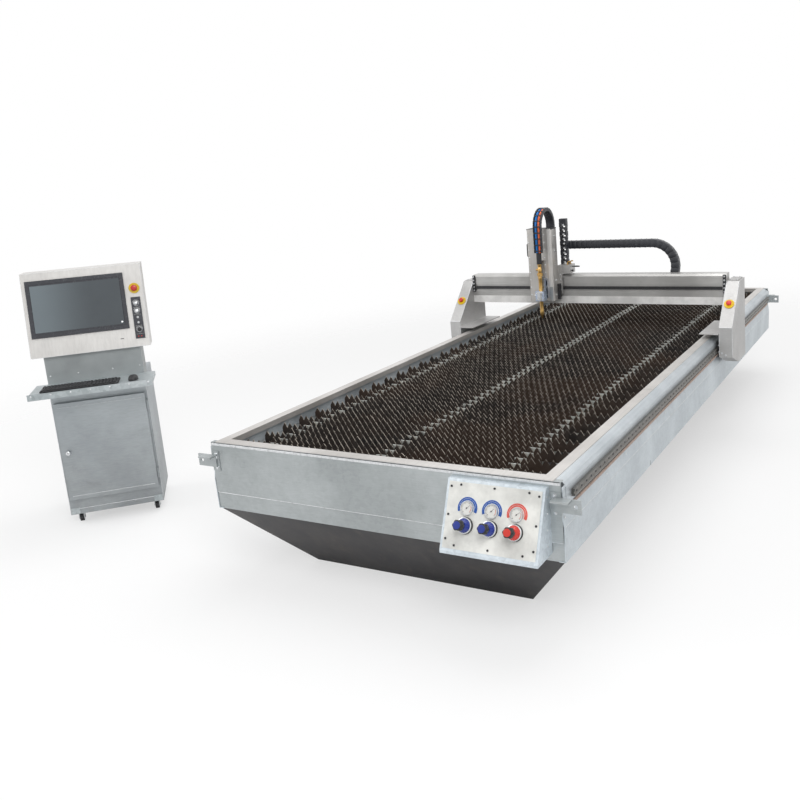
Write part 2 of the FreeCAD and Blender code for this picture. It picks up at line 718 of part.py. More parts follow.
runner = profile("YZ", runner_line, (middle_x - s.runner_half, middle_x + s.runner_half))
bracket_right = middle_x + s.bracket_right
bracket = block((middle_x + s.housing_half, bracket_right), (carriage_back, carriage_back + s.bracket_deep),
                (above(s.bracket_low), above(s.bracket_high)))
torch_y = housing_front - s.torch_out
loop_rear_face = torch_y + s.loop_radius * 2 - s.loop_thick / 2
loop_guide = block((torch_x - s.loop_guide_half, torch_x + s.loop_guide_half),
                   (carriage_front, loop_rear_face - s.seat_gap),
                   (above(s.carriage_high), above(s.housing_high) - s.loop_guide_drop))
keep("carriage_plate", joined(carriage_plate, runner, bracket, loop_guide))

housing_line = [
    (middle_x - s.housing_half, carriage_front),
    (middle_x - s.housing_half, housing_front + s.housing_chamfer),
    (middle_x - s.housing_half + s.housing_chamfer, housing_front),
    (middle_x + s.housing_half - s.housing_chamfer, housing_front),
    (middle_x + s.housing_half, housing_front + s.housing_chamfer),
    (middle_x + s.housing_half, carriage_front),
]
housing = profile("XY", housing_line, (above(s.housing_low), above(s.housing_high)))
slot = block((torch_x - s.slot_half, torch_x + s.slot_half),
             (housing_front - s.cut_over, housing_front + s.slot_deep),
             (above(s.housing_low) - s.cut_over, above(s.slot_high)))
slide_bar = block((torch_x - s.slide_half, torch_x + s.slide_half),
                  (housing_front + s.slot_deep - s.slide_thick, housing_front + s.slot_deep),
                  (above(s.housing_low), above(s.slot_high)))
keep("lift_housing", joined(without(housing, slot), slide_bar))

handle_x = middle_x - s.housing_half
handle_y = housing_front + s.handle_back
handle_low = above(s.handle_low)
handle_high = handle_low + s.handle_tall
handle = joined(
    rod("z", (handle_x - s.handle_reach, handle_y, handle_low - s.handle_radius),
        s.handle_radius, s.handle_tall + s.handle_radius * 2),
    rod("x", (handle_x - s.handle_reach, handle_y, handle_low), s.handle_radius, s.handle_reach),
    rod("x", (handle_x - s.handle_reach, handle_y, handle_high), s.handle_radius, s.handle_reach))
lever = rod("x", (bracket_right, carriage_back + s.lever_back, above(s.bracket_high) - s.lever_drop),
            s.lever_radius, s.lever_length)
keep("carriage_handles", group(handle, lever))
ladder_left = middle_x + s.ladder_left
ladder_front = carriage_back + s.ladder_back
keep("lift_cable_chain", block((ladder_left, ladder_left + s.ladder_wide),
                               (ladder_front, ladder_front + s.ladder_deep),
                               (above(s.bracket_high), above(s.ladder_high))))

# torch and lift
tip = above(s.torch_tip)
nozzle = cone("z", (torch_x, torch_y, tip), s.nozzle_radius, s.torch_radius, s.nozzle_tall)
barrel = rod("z", (torch_x, torch_y, tip + s.nozzle_tall), s.torch_radius,
             s.torch_top - s.torch_tip - s.nozzle_tall)
collar = rod("z", (torch_x, torch_y, above(s.collar_rise)), s.collar_radius, s.collar_tall)
keep("torch_body", joined(nozzle, barrel, collar))
keep("torch_sleeve", rod("z", (torch_x, torch_y, above(s.torch_top)), s.sleeve_radius, s.sleeve_tall))
clamp_back = torch_y + s.clamp_deep / 2
clamp_low = above(s.clamp_low)
clamp = block((torch_x - s.clamp_half, torch_x + s.clamp_half),
              (torch_y - s.clamp_deep / 2, clamp_back), (clamp_low, clamp_low + s.clamp_tall))
clamp_bore = rod("z", (torch_x, torch_y, clamp_low - s.cut_over), s.torch_radius,
                 s.clamp_tall + s.cut_over * 2)
arm_low = clamp_low + s.arm_rise
lift_arm = block((torch_x - s.arm_half, torch_x + s.arm_half),
                 (clamp_back, housing_front + s.slot_deep - s.slide_thick - s.seat_gap),
                 (arm_low, arm_low + s.arm_tall))
keep("torch_clamp", joined(without(clamp, clamp_bore), lift_arm))

# hose loop from the torch over to the back of the housing
loop_foot = above(s.torch_top) + s.sleeve_tall
loop_hub_y = torch_y + s.loop_radius
loop_hub_z = above(s.loop_centre)


def arch(left, wide, inner, thick, front_foot, rear_foot):
    """Upside-down U in the YZ plane: two upright runs joined by a half ring."""
    outer = inner + thick

    def sector(radius):
        item = doc.addObject("Part::Cylinder", fresh("Sector"))
        bind(item, "Radius", radius)
        bind(item, "Height", wide)
        item.Angle = 180
        place(item, (left, loop_hub_y, loop_hub_z), TURN_TO["x"])
        return item

    ring = without(sector(outer), sector(inner))
    near = block((left, left + wide), (loop_hub_y - outer, loop_hub_y - inner), (front_foot, loop_hub_z))
    far = block((left, left + wide), (loop_hub_y + inner, loop_hub_y + outer), (rear_foot, loop_hub_z))
    return joined(ring, near, far)


loop_left = torch_x - s.loop_wide / 2
loop_inner = s.loop_radius - s.loop_thick / 2
rear_foot = above(s.loop_rear_end)
carrier = joined(
    arch(loop_left, s.loop_wide, loop_inner, s.loop_web, loop_foot, rear_foot),
    arch(loop_left, s.loop_wall, loop_inner, s.loop_thick, loop_foot, rear_foot),
    arch(loop_left + s.loop_wide - s.loop_wall, s.loop_wall, loop_inner, s.loop_thick,
         loop_foot, rear_foot))
keep("hose_carrier", carrier)
hose_inner = loop_inner + s.loop_web
hose_left = loop_left + s.loop_wall + s.hose_gap
keep("blue_hose", arch(hose_left, s.hose_wide, hose_inner, s.hose_thick, loop_foot, rear_foot))
keep("orange_hose", arch(hose_left + s.hose_wide + s.hose_gap * 2, s.hose_wide, hose_inner,
                         s.hose_thick, loop_foot, rear_foot))

# console, modelled about its own upright axis with its front at -Y, then turned and set down
def console_piece(name, item):
    """Turns a piece with the console, sets it down and keeps it under its name."""
    stand = group(item)
    turn = FreeCAD.Rotation(FreeCAD.Vector(0, 0, 1), s.console_turn.value)
    place(stand, (-s.console_left, -s.console_ahead, as_size(0)), turn)
    bind(stand, "Placement.Rotation.Angle", s.console_turn)
    return keep(name, stand)


half_cabinet = s.cabinet_wide / 2
cabinet_front = -s.cabinet_deep / 2
cabinet_back = s.cabinet_deep / 2
door_left = -half_cabinet + s.door_side
door_right = half_cabinet - s.door_side
door_low = s.cabinet_low + s.door_margin_low
door_high = s.cabinet_high - s.door_margin_high
shell = block((-half_cabinet, half_cabinet), (cabinet_front, cabinet_back), (s.cabinet_low, s.cabinet_high))
room = block((door_left + s.door_gap, door_right - s.door_gap),
             (cabinet_front - s.cut_over, cabinet_back - s.cabinet_sheet),
             (door_low + s.door_gap, door_high - s.door_gap))
door_face = cabinet_front - s.door_shadow
door = block((door_left, door_right), (door_face - s.door_thick, door_face), (door_low, door_high))
hinge_x = door_right + s.hinge_radius + s.seat_gap
hinges = []
for rise in (s.hinge_low_rise, s.hinge_high_rise):
    pin = rod("z", (hinge_x, door_face - s.door_thick / 2, door_low + rise), s.hinge_radius, s.hinge_tall)
    leaf = block((hinge_x - s.hinge_leaf_half, hinge_x + s.hinge_leaf_half),
                 (door_face - s.door_thick / 2, cabinet_front),
                 (door_low + rise, door_low + rise + s.hinge_tall))
    hinges.append(joined(pin, leaf))
console_piece("console_cabinet", joined(without(shell, room), *hinges))
lock_z = (door_low + door_high) / 2
lock = rod("y", (door_left + s.lock_in, door_face - s.door_thick - s.lock_deep, lock_z),
           s.lock_radius, s.lock_deep)
console_piece("cabinet_door", joined(door, lock))

# desk with keyboard and mouse
desk_front = -s.desk_reach
neck_front = -s.neck_ahead
half_desk = s.desk_wide / 2
desk_top = s.cabinet_high + s.desk_thick
desk = joined(
    block((-half_desk, half_desk), (desk_front, neck_front), (s.cabinet_high, desk_top)),
    block((-half_desk, half_desk), (desk_front, desk_front + s.desk_lip_thick),
          (desk_top, desk_top + s.desk_lip)))
console_piece("keyboard_desk", desk)
keyboard_front = desk_front + s.keyboard_back
keyboard = block((-s.keyboard_side, s.keyboard_wide - s.keyboard_side),
                 (keyboard_front, keyboard_front + s.keyboard_deep),
                 (desk_top, desk_top + s.keyboard_thick))
mouse_front = desk_front + s.mouse_back
MOUSE_SHAPE = ((0, 0), (1, 0), (0.93, 0.6), (0.65, 1), (0.35, 0.92), (0.06, 0.45))
mouse_line = []
for along, up in MOUSE_SHAPE:
    mouse_line.append((mouse_front + s.mouse_deep * along, desk_top + s.mouse_thick * up))
mouse = profile("YZ", mouse_line, (s.mouse_side, s.mouse_side + s.mouse_wide))
console_piece("keyboard_and_mouse", group(keyboard, mouse))

# neck and monitor head, leaning back
neck_back = neck_front + s.neck_deep
head_face = -s.head_ahead
head_tall = s.head_high - s.head_low
lean_run = head_tall * sine(s.head_lean) / cosine(s.head_lean)
neck = block((-s.neck_wide / 2, s.neck_wide / 2), (neck_front, neck_back), (s.cabinet_high, s.head_low))
half_head = s.head_wide / 2
head_line = [
    (head_face, s.head_low),
    (head_face + s.head_deep, s.head_low),
    (head_face + s.head_deep + lean_run, s.head_high),
    (head_face + lean_run, s.head_high),
]
head = profile("YZ", head_line, (-half_head, half_head))
console_piece("monitor_housing", joined(neck, head))


def on_head(rise, out):
    """Point on the leaning front of the head: distance up the face, distance out of it."""
    along = head_face + rise * sine(s.head_lean) - out * cosine(s.head_lean)
    height = s.head_low + rise * cosine(s.head_lean) + out * sine(s.head_lean)
    return along, height


def on_head_slab(left, right, low, high, out, thick):
    """Flat plate on the leaning front of the head."""
    line = [on_head(low, out), on_head(high, out), on_head(high, out + thick), on_head(low, out + thick)]
    return profile("YZ", line, (left, right))


face_tall = head_tall / cosine(s.head_lean)
bezel_left = -s.bezel_side
bezel_high = face_tall - s.bezel_drop
bezel_low = bezel_high - s.bezel_tall
bezel_right = bezel_left + s.bezel_wide
bezel = on_head_slab(bezel_left, bezel_right, bezel_low, bezel_high, as_size(0), s.bezel_thick)
screen_left = bezel_left + (s.bezel_wide - s.screen_wide) / 2
screen_low = bezel_low + (s.bezel_tall - s.screen_tall) / 2
console_piece("screen", on_head_slab(screen_left, screen_left + s.screen_wide, screen_low,
                                     screen_low + s.screen_tall, s.bezel_thick, s.screen_thick))
strip_left = s.strip_right - s.strip_wide
strip = on_head_slab(strip_left, s.strip_right, s.strip_low, s.strip_low + s.strip_tall,
                     as_size(0), s.strip_thick)
console_piece("console_fascias", group(bezel, strip))


def from_head(kind, along_x, rise, out, radius, length):
    """Round piece that stands square on the leaning front of the head."""
    y_at, z_at = on_head(rise, out)
    return tilted_rod(kind, (along_x, y_at, z_at), radius, length, RIGHT_ANGLE - s.head_lean)


strip_mid = (strip_left + s.strip_right) / 2
stop_rise = s.strip_low + s.strip_tall + s.panel_stop_radius + s.panel_stop_gap
console_piece("panel_stop_disc", from_head("Disc", strip_mid, stop_rise, as_size(0),
                                           s.panel_stop_radius, s.stop_disc_thick))
console_piece("panel_stop_button", from_head("Button", strip_mid, stop_rise, s.stop_disc_thick,
                                             s.button_radius, s.button_tall))

# casters: the front pair swivels, the rear pair is rigid, all four wheels turn
rear_forks = []
CASTERS = (("front_left", -1, -1), ("front_right", 1, -1), ("rear_left", -1, 1), ("rear_right", 1, 1))
for corner, side_x, side_y in CASTERS:
    pivot_x = s.caster_x * side_x
    pivot_y = s.caster_y * side_y
    swivels = side_y < 0
    top = s.cabinet_low - s.seat_gap if swivels else s.cabinet_low
    wheel_y = pivot_y + s.fork_trail
    plate = rod("z", (pivot_x, pivot_y, top - s.mount_tall), s.mount_radius, s.mount_tall)
    cheeks = []
    for side in (-1, 1):
        cheek_x = pivot_x + (s.fork_wide / 2 - s.fork_thick / 2) * side
        cheeks.append(block((cheek_x - s.fork_thick / 2, cheek_x + s.fork_thick / 2),
                            (wheel_y - s.fork_deep / 2, wheel_y + s.fork_deep / 2),
                            (s.wheel_radius - s.fork_low_in, top - s.mount_tall)))
    crown = block((pivot_x - s.fork_wide / 2, pivot_x + s.fork_wide / 2),
                  (wheel_y - s.fork_deep / 2, wheel_y + s.fork_deep / 2),
                  (top - s.mount_tall - s.crown_thick, top - s.mount_tall))
    fork = joined(plate, crown, *cheeks)
    if swivels:
        console_piece("caster_fork_" + corner, fork)
    else:
        rear_forks.append(fork)
    tread = rod("x", (pivot_x - s.wheel_wide / 2, wheel_y, s.wheel_radius), s.wheel_radius, s.wheel_wide)
    axle_half = s.fork_wide / 2 - s.fork_thick - s.seat_gap
    axle = rod("x", (pivot_x - axle_half, wheel_y, s.wheel_radius), s.axle_radius, axle_half * 2)
    console_piece("caster_wheel_" + corner, joined(tread, axle))
console_piece("caster_forks_rear", group(*rear_forks))

doc.recompute()


def check_objects():
    """Stops on any object that didn't compute."""
    for item in doc.Objects:
        state = list(item.State)
        if "Invalid" in state or "Error" in state:
            raise RuntimeError(item.Label + " is in state " + str(state))


check_objects()
for name, item in pieces.items():
    shape = item.Shape
    if shape.isNull() or not shape.isValid() or not shape.Solids:
        raise RuntimeError(name + " has no valid solid")
    shape.exportStep("parts/" + name + ".step")
doc.saveAs("part.FCStd")
print("pieces written:", len(pieces))
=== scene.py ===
"""Looks of the plasma cutting machine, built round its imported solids.

Z points up and the end with the gas regulators faces -Y. Lengths are in metres.
"""

import math

import bmesh
import bpy
import numpy as np
from mathutils import Matrix, Vector


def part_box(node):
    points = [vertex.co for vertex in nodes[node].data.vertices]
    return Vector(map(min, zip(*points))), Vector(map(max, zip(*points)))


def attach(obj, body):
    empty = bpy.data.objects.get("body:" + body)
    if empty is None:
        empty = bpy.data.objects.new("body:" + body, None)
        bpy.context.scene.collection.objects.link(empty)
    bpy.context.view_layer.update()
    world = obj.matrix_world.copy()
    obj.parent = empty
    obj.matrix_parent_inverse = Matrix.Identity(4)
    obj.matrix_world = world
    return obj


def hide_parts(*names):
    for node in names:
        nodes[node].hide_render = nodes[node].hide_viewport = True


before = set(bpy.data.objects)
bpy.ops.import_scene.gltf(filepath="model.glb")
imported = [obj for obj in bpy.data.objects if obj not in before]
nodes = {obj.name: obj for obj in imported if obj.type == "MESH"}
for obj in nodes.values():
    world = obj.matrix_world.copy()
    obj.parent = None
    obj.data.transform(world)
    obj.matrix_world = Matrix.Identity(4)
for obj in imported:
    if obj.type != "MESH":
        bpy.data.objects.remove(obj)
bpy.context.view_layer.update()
rng = np.random.default_rng(7)

TABLE = "table_and_console"
CONSOLE = np.array([-2.465, -1.870, 0.0])
TURN = math.radians(44)
ASIDE = np.array([math.cos(TURN), math.sin(TURN), 0.0])
BEHIND = np.array([-math.sin(TURN), math.cos(TURN), 0.0])
UP = np.array([0.0, 0.0, 1.0])
ACROSS = np.array([1.0, 0.0, 0.0])
ALONG = np.array([0.0, 1.0, 0.0])


def span(node):
    """Lowest and highest corner of a solid as two arrays."""
    low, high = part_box(node)
    return np.array(low), np.array(high)


def unit(vectors):
    """Vectors divided by their own lengths."""
    vectors = np.asarray(vectors, float)
    return vectors / np.linalg.norm(vectors, axis=-1, keepdims=True)


# surfaces


class Surface:
    """Grids of points gathered as whole arrays and made into one mesh at the end."""

    def __init__(self):
        self.points = np.zeros((0, 3))
        self.quads = np.zeros((0, 4), int)
        self.triangles = np.zeros((0, 3), int)

    def grid(self, points, ring=False, loop=False):
        """Joins each point of a (rows, columns, 3) array with its neighbours. A ring joins the last
        column to the first, and a loop joins the last row to the first."""
        rows, columns = points.shape[:2]
        index = np.arange(rows * columns).reshape(rows, columns) + len(self.points)
        if ring:
            index = np.concatenate([index, index[:, :1]], axis=1)
        if loop:
            index = np.concatenate([index, index[:1]], axis=0)
        corners = [index[:-1, :-1], index[:-1, 1:], index[1:, 1:], index[1:, :-1]]
        self.quads = np.concatenate([self.quads, np.stack(corners, -1).reshape(-1, 4)])
        self.points = np.concatenate([self.points, points.reshape(-1, 3)])
        return self

    def lid(self, rim):
        """Closes a rim of points with triangles that meet in the rim's mean point."""
        count = len(rim)
        first = len(self.points)
        around = np.arange(count)
        middle = np.full(count, first + count)
        faces = np.stack([first + around, first + (around + 1) % count, middle], -1)
        self.triangles = np.concatenate([self.triangles, faces])
        self.points = np.concatenate([self.points, rim, rim.mean(0)[None]])
        return self

    def add(self, other):
        """Takes in another surface."""
        shift = len(self.points)
        self.quads = np.concatenate([self.quads, other.quads + shift])
        self.triangles = np.concatenate([self.triangles, other.triangles + shift])
        self.points = np.concatenate([self.points, other.points])
        return self

    def put(self, origin, x_axis, y_axis, z_axis):
        """The same surface in another place: origin + x * x_axis + y * y_axis + z * z_axis."""
        moved = Surface()
        axes = np.array([x_axis, y_axis, z_axis], float)
        moved.points = np.asarray(origin, float) + self.points @ axes
        moved.quads = self.quads
        moved.triangles = self.triangles
        return moved

    def repeat(self, spots, facing):
        """Copies of the surface at many spots, each with its own z axis along facing. The points of all
        copies come from one product of the base points with each copy's three axes."""
        spots = np.atleast_2d(np.asarray(spots, float))
        z_axis = unit(np.broadcast_to(np.asarray(facing, float), spots.shape))
        upright = np.abs(z_axis[:, 2:]) > 0.9
        reference = np.where(upright, ACROSS, UP)
        x_axis = unit(np.cross(reference, z_axis))
        y_axis = np.cross(z_axis, x_axis)
        axes = np.stack([x_axis, y_axis, z_axis], 1)
        copies = Surface()
        copies.points = (spots[:, None] + np.einsum("pk,nkj->npj", self.points, axes)).reshape(-1, 3)
        shift = np.arange(len(spots))[:, None, None] * len(self.points)
        copies.quads = (self.quads[None] + shift).reshape(-1, 4)
        copies.triangles = (self.triangles[None] + shift).reshape(-1, 3)
        return copies

    def make(self, name, body, finish, slot, replaces=(), smooth=40):
        """One object with its seams merged and its faces turned outwards, riding on a body."""
        mesh = bpy.data.meshes.new(name)
        mesh.from_pydata(self.points, [], self.quads.tolist() + self.triangles.tolist())
        work = bmesh.new()
        work.from_mesh(mesh)
        bmesh.ops.remove_doubles(work, verts=work.verts, dist=2e-6)
        bmesh.ops.dissolve_degenerate(work, edges=work.edges, dist=1e-7)
        bmesh.ops.recalc_face_normals(work, faces=work.faces)
        work.to_mesh(mesh)
        work.free()
        mesh.shade_smooth()
        mesh.set_sharp_from_angle(angle=math.radians(smooth))
        piece = bpy.data.objects.new(name, mesh)
        bpy.context.scene.collection.objects.link(piece)
        mesh.materials.append(finish)
        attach(piece, body)
        if replaces:
            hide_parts(*replaces)
        return piece


def turned(profile, sides=16, lobes=0, swing=0.0):
    """A turned shape about its z axis. Each profile pair (radius, height) becomes a circle of points
    (radius * cos t, radius * sin t, height); lobes add swing * cos(lobes * t) to the radius."""
    profile = np.asarray(profile, float)
    t = np.arange(sides) * math.tau / sides
    wave = 1 + swing * np.cos(lobes * t)[None] * (profile[:, :1] > 0)
    radius = profile[:, :1] * wave
    height = np.repeat(profile[:, 1:], sides, 1)
    return Surface().grid(np.stack([radius * np.cos(t), radius * np.sin(t), height], -1), ring=True)


def round_rectangle(wide, tall, corner, steps=3):
    """Outline of a rectangle whose corners are quarter circles: centre + corner * (cos t, sin t)."""
    t = np.linspace(0, math.pi / 2, steps)
    turns = [t + quarter * math.pi / 2 for quarter in range(4)]
    quarters = [np.stack([np.cos(angle), np.sin(angle)], -1) for angle in turns]
    centres = np.array([[1, 1], [-1, 1], [-1, -1], [1, -1]]) * [wide / 2 - corner, tall / 2 - corner]
    return np.concatenate([centre + corner * quarter for centre, quarter in zip(centres, quarters)])


def cushioned(wide, deep, tall, edge, corner=None):
    """A block with eased edges, standing on z = 0: rounded rectangles stacked at four heights, the first
    and last drawn in by the edge."""
    corner = edge if corner is None else corner
    rings = []
    for inset, height in ((edge, 0), (0, edge), (0, tall - edge), (edge, tall)):
        outline = round_rectangle(wide - 2 * inset, deep - 2 * inset, max(corner - inset, edge * 0.2))
        rings.append(np.column_stack([outline, np.full(len(outline), height)]))
    block = Surface().grid(np.array(rings), ring=True)
    return block.lid(rings[0]).lid(rings[-1])


def block_between(low, high, edge=0.001):
    """A block with eased edges between two corners."""
    low = np.asarray(low, float)
    high = np.asarray(high, float)
    size = high - low
    foot = [(low[0] + high[0]) / 2, (low[1] + high[1]) / 2, low[2]]
    return cushioned(size[0], size[1], size[2], edge).put(foot, ACROSS, ALONG, UP)


def carried(profile, path, side, scale=None, closed=False):
    """A profile carried along a path. The points are path + u * side + v * out, where out is square to
    the side and to the path's direction, and u and v may grow or shrink by a scale at each point."""
    path = np.asarray(path, float)
    profile = np.asarray(profile, float)
    if closed:
        ahead = np.roll(path, -1, 0) - np.roll(path, 1, 0)
    else:
        ahead = np.gradient(path, axis=0)
    ahead = unit(ahead)
    side = np.broadcast_to(np.asarray(side, float), path.shape)
    out = unit(np.cross(ahead, side))
    side = unit(np.cross(out, ahead))
    grow = np.ones((len(path), 2)) if scale is None else np.asarray(scale, float)
    u = profile[None, :, 0] * grow[:, :1]
    v = profile[None, :, 1] * grow[:, 1:]
    points = path[:, None] + u[..., None] * side[:, None] + v[..., None] * out[:, None]
    shape = Surface().grid(points, ring=True, loop=closed)
    if not closed:
        shape.lid(points[0]).lid(points[-1])
    return shape


def circle(radius, sides=12):
    """Points of a circle: radius * (cos t, sin t)."""
    t = np.arange(sides) * math.tau / sides
    return np.stack([radius * np.cos(t), radius * np.sin(t)], -1)


def tube(path, radius, side, sides=12, closed=False):
    """A round tube along a path."""
    return carried(circle(radius, sides), path, side, closed=closed)


def cap_screw(radius, tall):
    """A cap screw: straight head, eased rim and a round socket sunk to half its height."""
    return turned([(radius, 0), (radius, tall * 0.8), (radius * 0.86, tall), (radius * 0.5, tall),
                   (radius * 0.46, tall * 0.35), (0, tall * 0.3)], 10)


def dome_screw(radius, tall):
    """A low domed head: radius * cos t and tall * sin t for t from 0 to 90 degrees."""
    t = np.linspace(0, math.pi / 2, 4)
    return turned(np.column_stack([radius * np.cos(t), tall * np.sin(t)]), 10)


def hex_bolt(radius, tall):
    """A hexagon head on a round washer."""
    washer = turned([(radius * 1.35, 0), (radius * 1.35, tall * 0.22), (radius, tall * 0.25)], 12)
    head = turned([(radius, tall * 0.2), (radius, tall * 0.9), (radius * 0.85, tall), (0, tall)], 6)
    return washer.add(head)


# finishes


def tone(red, green, blue):
    """A display colour from 0 to 255 as the linear colour that shaders use."""
    values = np.array([red, green, blue]) / 255
    linear = np.where(values <= 0.04045, values / 12.92, ((values + 0.055) / 1.055) ** 2.4)
    return (*linear.tolist(), 1.0)


class Signal:
    """One output of a finish's nodes. Sums and products with it add the nodes that work them out."""

    def __init__(self, finish, socket):
        self.finish = finish
        self.socket = socket

    def maths(self, operation, first, second=0.0):
        return self.finish.add("ShaderNodeMath", {"operation": operation}, {0: first, 1: second})

    def __add__(self, other):
        return self.maths("ADD", self, other)

    def __radd__(self, other):
        return self.maths("ADD", other, self)

    def __sub__(self, other):
        return self.maths("SUBTRACT", self, other)

    def __rsub__(self, other):
        return self.maths("SUBTRACT", other, self)

    def __mul__(self, other):
        return self.maths("MULTIPLY", self, other)

    def __rmul__(self, other):
        return self.maths("MULTIPLY", other, self)

    def fade(self, start, end):
        """0 at start, 1 at end, held in between, with a smooth slope."""
        settings = {"interpolation_type": "SMOOTHSTEP"}
        values = {"Value": self, "From Min": start, "From Max": end, "To Min": 0.0, "To Max": 1.0}
        return self.finish.add("ShaderNodeMapRange", settings, values)


class Finish:
    """A procedural material. add() makes any node, and the short methods below name the usual ones."""

    def __init__(self, name):
        self.material = bpy.data.materials.new(name)
        self.material.use_nodes = True
        self.tree = self.material.node_tree
        self.shader = self.tree.nodes["Principled BSDF"]
        self.place = self.add("ShaderNodeTexCoord", {}, {}, "Object")

    def add(self, kind, settings, values, output=0):
        """Adds a node of a kind, sets its settings first and then its sockets' values or links."""
        node = self.tree.nodes.new(kind)
        for key, value in settings.items():
            setattr(node, key, value)
        for key, value in values.items():
            self.join(node.inputs[key], value)
        return Signal(self, node.outputs[output])

    def join(self, socket, value):
        """Links a signal to a socket, or sets the socket to a plain value."""
        if isinstance(value, Signal):
            self.tree.links.new(value.socket, socket)
        else:
            socket.default_value = value

    def set(self, **values):
        """Constants and links of the shader's own sockets, with spaces in their names as underscores."""
        for key, value in values.items():
            self.join(self.shader.inputs[key.replace("_", " ")], value)
        return self.material

    def stretched(self, x=1.0, y=1.0, z=1.0):
        """The object's own coordinates with each axis multiplied by a number."""
        return self.add("ShaderNodeMapping", {}, {"Vector": self.place, "Scale": (x, y, z)})

    def noise(self, scale, detail=3.0, roughness=0.55, at=None, distortion=0.0):
        """Soft clouds of a scale, at the object's own coordinates or other ones."""
        values = {"Vector": at or self.place, "Scale": scale, "Detail": detail,
                  "Roughness": roughness, "Distortion": distortion}
        return self.add("ShaderNodeTexNoise", {}, values)

    def cells(self, scale, output):
        """Cells about scattered points, by their distance or a colour of their own."""
        values = {"Vector": self.place, "Scale": scale}
        return self.add("ShaderNodeTexVoronoi", {}, values, output)

    def axis(self, letter):
        """The object's own X, Y or Z coordinate."""
        return self.add("ShaderNodeSeparateXYZ", {}, {0: self.place}, letter)

    def blend(self, amount, first, second, kind="MIX"):
        """Mixes two colours by an amount."""
        settings = {"data_type": "RGBA", "blend_type": kind}
        return self.add("ShaderNodeMix", settings, {0: amount, 6: first, 7: second}, 2)

    def bump(self, height, strength=0.2, distance=0.001):
        """A normal tilted by the slope of a height."""
        values = {"Strength": strength, "Distance": distance, "Height": height}
        return self.add("ShaderNodeBump", {}, values)


def bare_sheet(name, light, dark, grain=(1, 1, 1), metal=0.65, rough=0.38, spangle=0.0, stain=0.25,
               dirt=0.0, zinc_and_shade_below=0.0):
    """Sheet metal: a cloudy tone between two colours, fine rolling lines along one axis, zinc flakes,
    faint stains, dust that gathers low down, and a greyer zinc sheet below a height, partly its own zinc
    and partly painted shade."""
    finish = Finish(name)
    cloud = finish.noise(2.2, 4, 0.6)
    lines = finish.noise(70, 3, 0.6, at=finish.stretched(*grain))
    tint = finish.blend(cloud.fade(0.3, 0.72), tone(*dark), tone(*light))
    tint = finish.blend(lines.fade(0.35, 0.7) * 0.16, tint, tone(*[c * 0.78 for c in dark]))
    if spangle:
        flake = finish.cells(55, output="Color")
        facet = finish.add("ShaderNodeSeparateXYZ", {}, {0: flake}, 0)
        tint = finish.blend(facet * spangle, tint, tone(*[min(255, c * 1.16) for c in light]))
    marks = finish.noise(7, 5, 0.7, distortion=0.6)
    tint = finish.blend(marks.fade(0.56, 0.8) * stain, tint, tone(*[c * 0.7 for c in dark]))
    if dirt:
        low = 1 - finish.axis("Z").fade(0.0, 0.9)
        tint = finish.blend(low * dirt * marks, tint, tone(84, 76, 66))
    # greyer zinc below a height: partly the sheet's own galvanised tone, partly painted shade under what
    # sits above
    if zinc_and_shade_below:
        under = 1 - finish.axis("Z").fade(zinc_and_shade_below, zinc_and_shade_below + 0.002)
        zinc = finish.blend(cloud.fade(0.3, 0.72), tone(138, 143, 144), tone(168, 173, 174))
        tint = finish.blend(under, tint, zinc)
    shine = rough + lines * 0.12 + marks.fade(0.5, 0.8) * 0.12
    return finish.set(Base_Color=tint, Roughness=shine, Metallic=metal,
                      Normal=finish.bump(lines, 0.08, 0.0004))


def painted(name, colour, rough=0.42, peel=0.12, wear=0.12, coat=0.0):
    """Even paint or plastic: a fine orange-peel skin, slight fading in patches and rubbed spots."""
    finish = Finish(name)
    peel_height = finish.noise(900, 2, 0.5)
    patch = finish.noise(6, 4, 0.6)
    rubbed = finish.noise(38, 4, 0.7, distortion=0.4)
    darker = tone(*[c * 0.84 for c in colour])
    lighter = tone(*[min(255, c * 1.1 + 6) for c in colour])
    tint = finish.blend(patch.fade(0.3, 0.7), darker, tone(*colour))
    tint = finish.blend(rubbed.fade(0.6, 0.78) * wear, tint, lighter)
    shine = rough + rubbed.fade(0.45, 0.75) * 0.16
    return finish.set(Base_Color=tint, Roughness=shine, Coat_Weight=coat,
                      Normal=finish.bump(peel_height, peel, 0.0003))


def machined(name, colour, rough=0.28, grain=(1, 1, 1)):
    """Turned or milled metal with fine tool lines and a few darker touched spots."""
    finish = Finish(name)
    lines = finish.noise(260, 2, 0.5, at=finish.stretched(*grain))
    touch = finish.noise(45, 4, 0.6)
    tint = finish.blend(touch.fade(0.4, 0.75) * 0.5, tone(*colour), tone(*[c * 0.68 for c in colour]))
    tint = finish.blend(lines.fade(0.4, 0.7) * 0.2, tint, tone(*[min(255, c * 1.2) for c in colour]))
    return finish.set(Base_Color=tint, Roughness=rough + touch * 0.14, Metallic=1.0,
                      Normal=finish.bump(lines, 0.06, 0.0003))


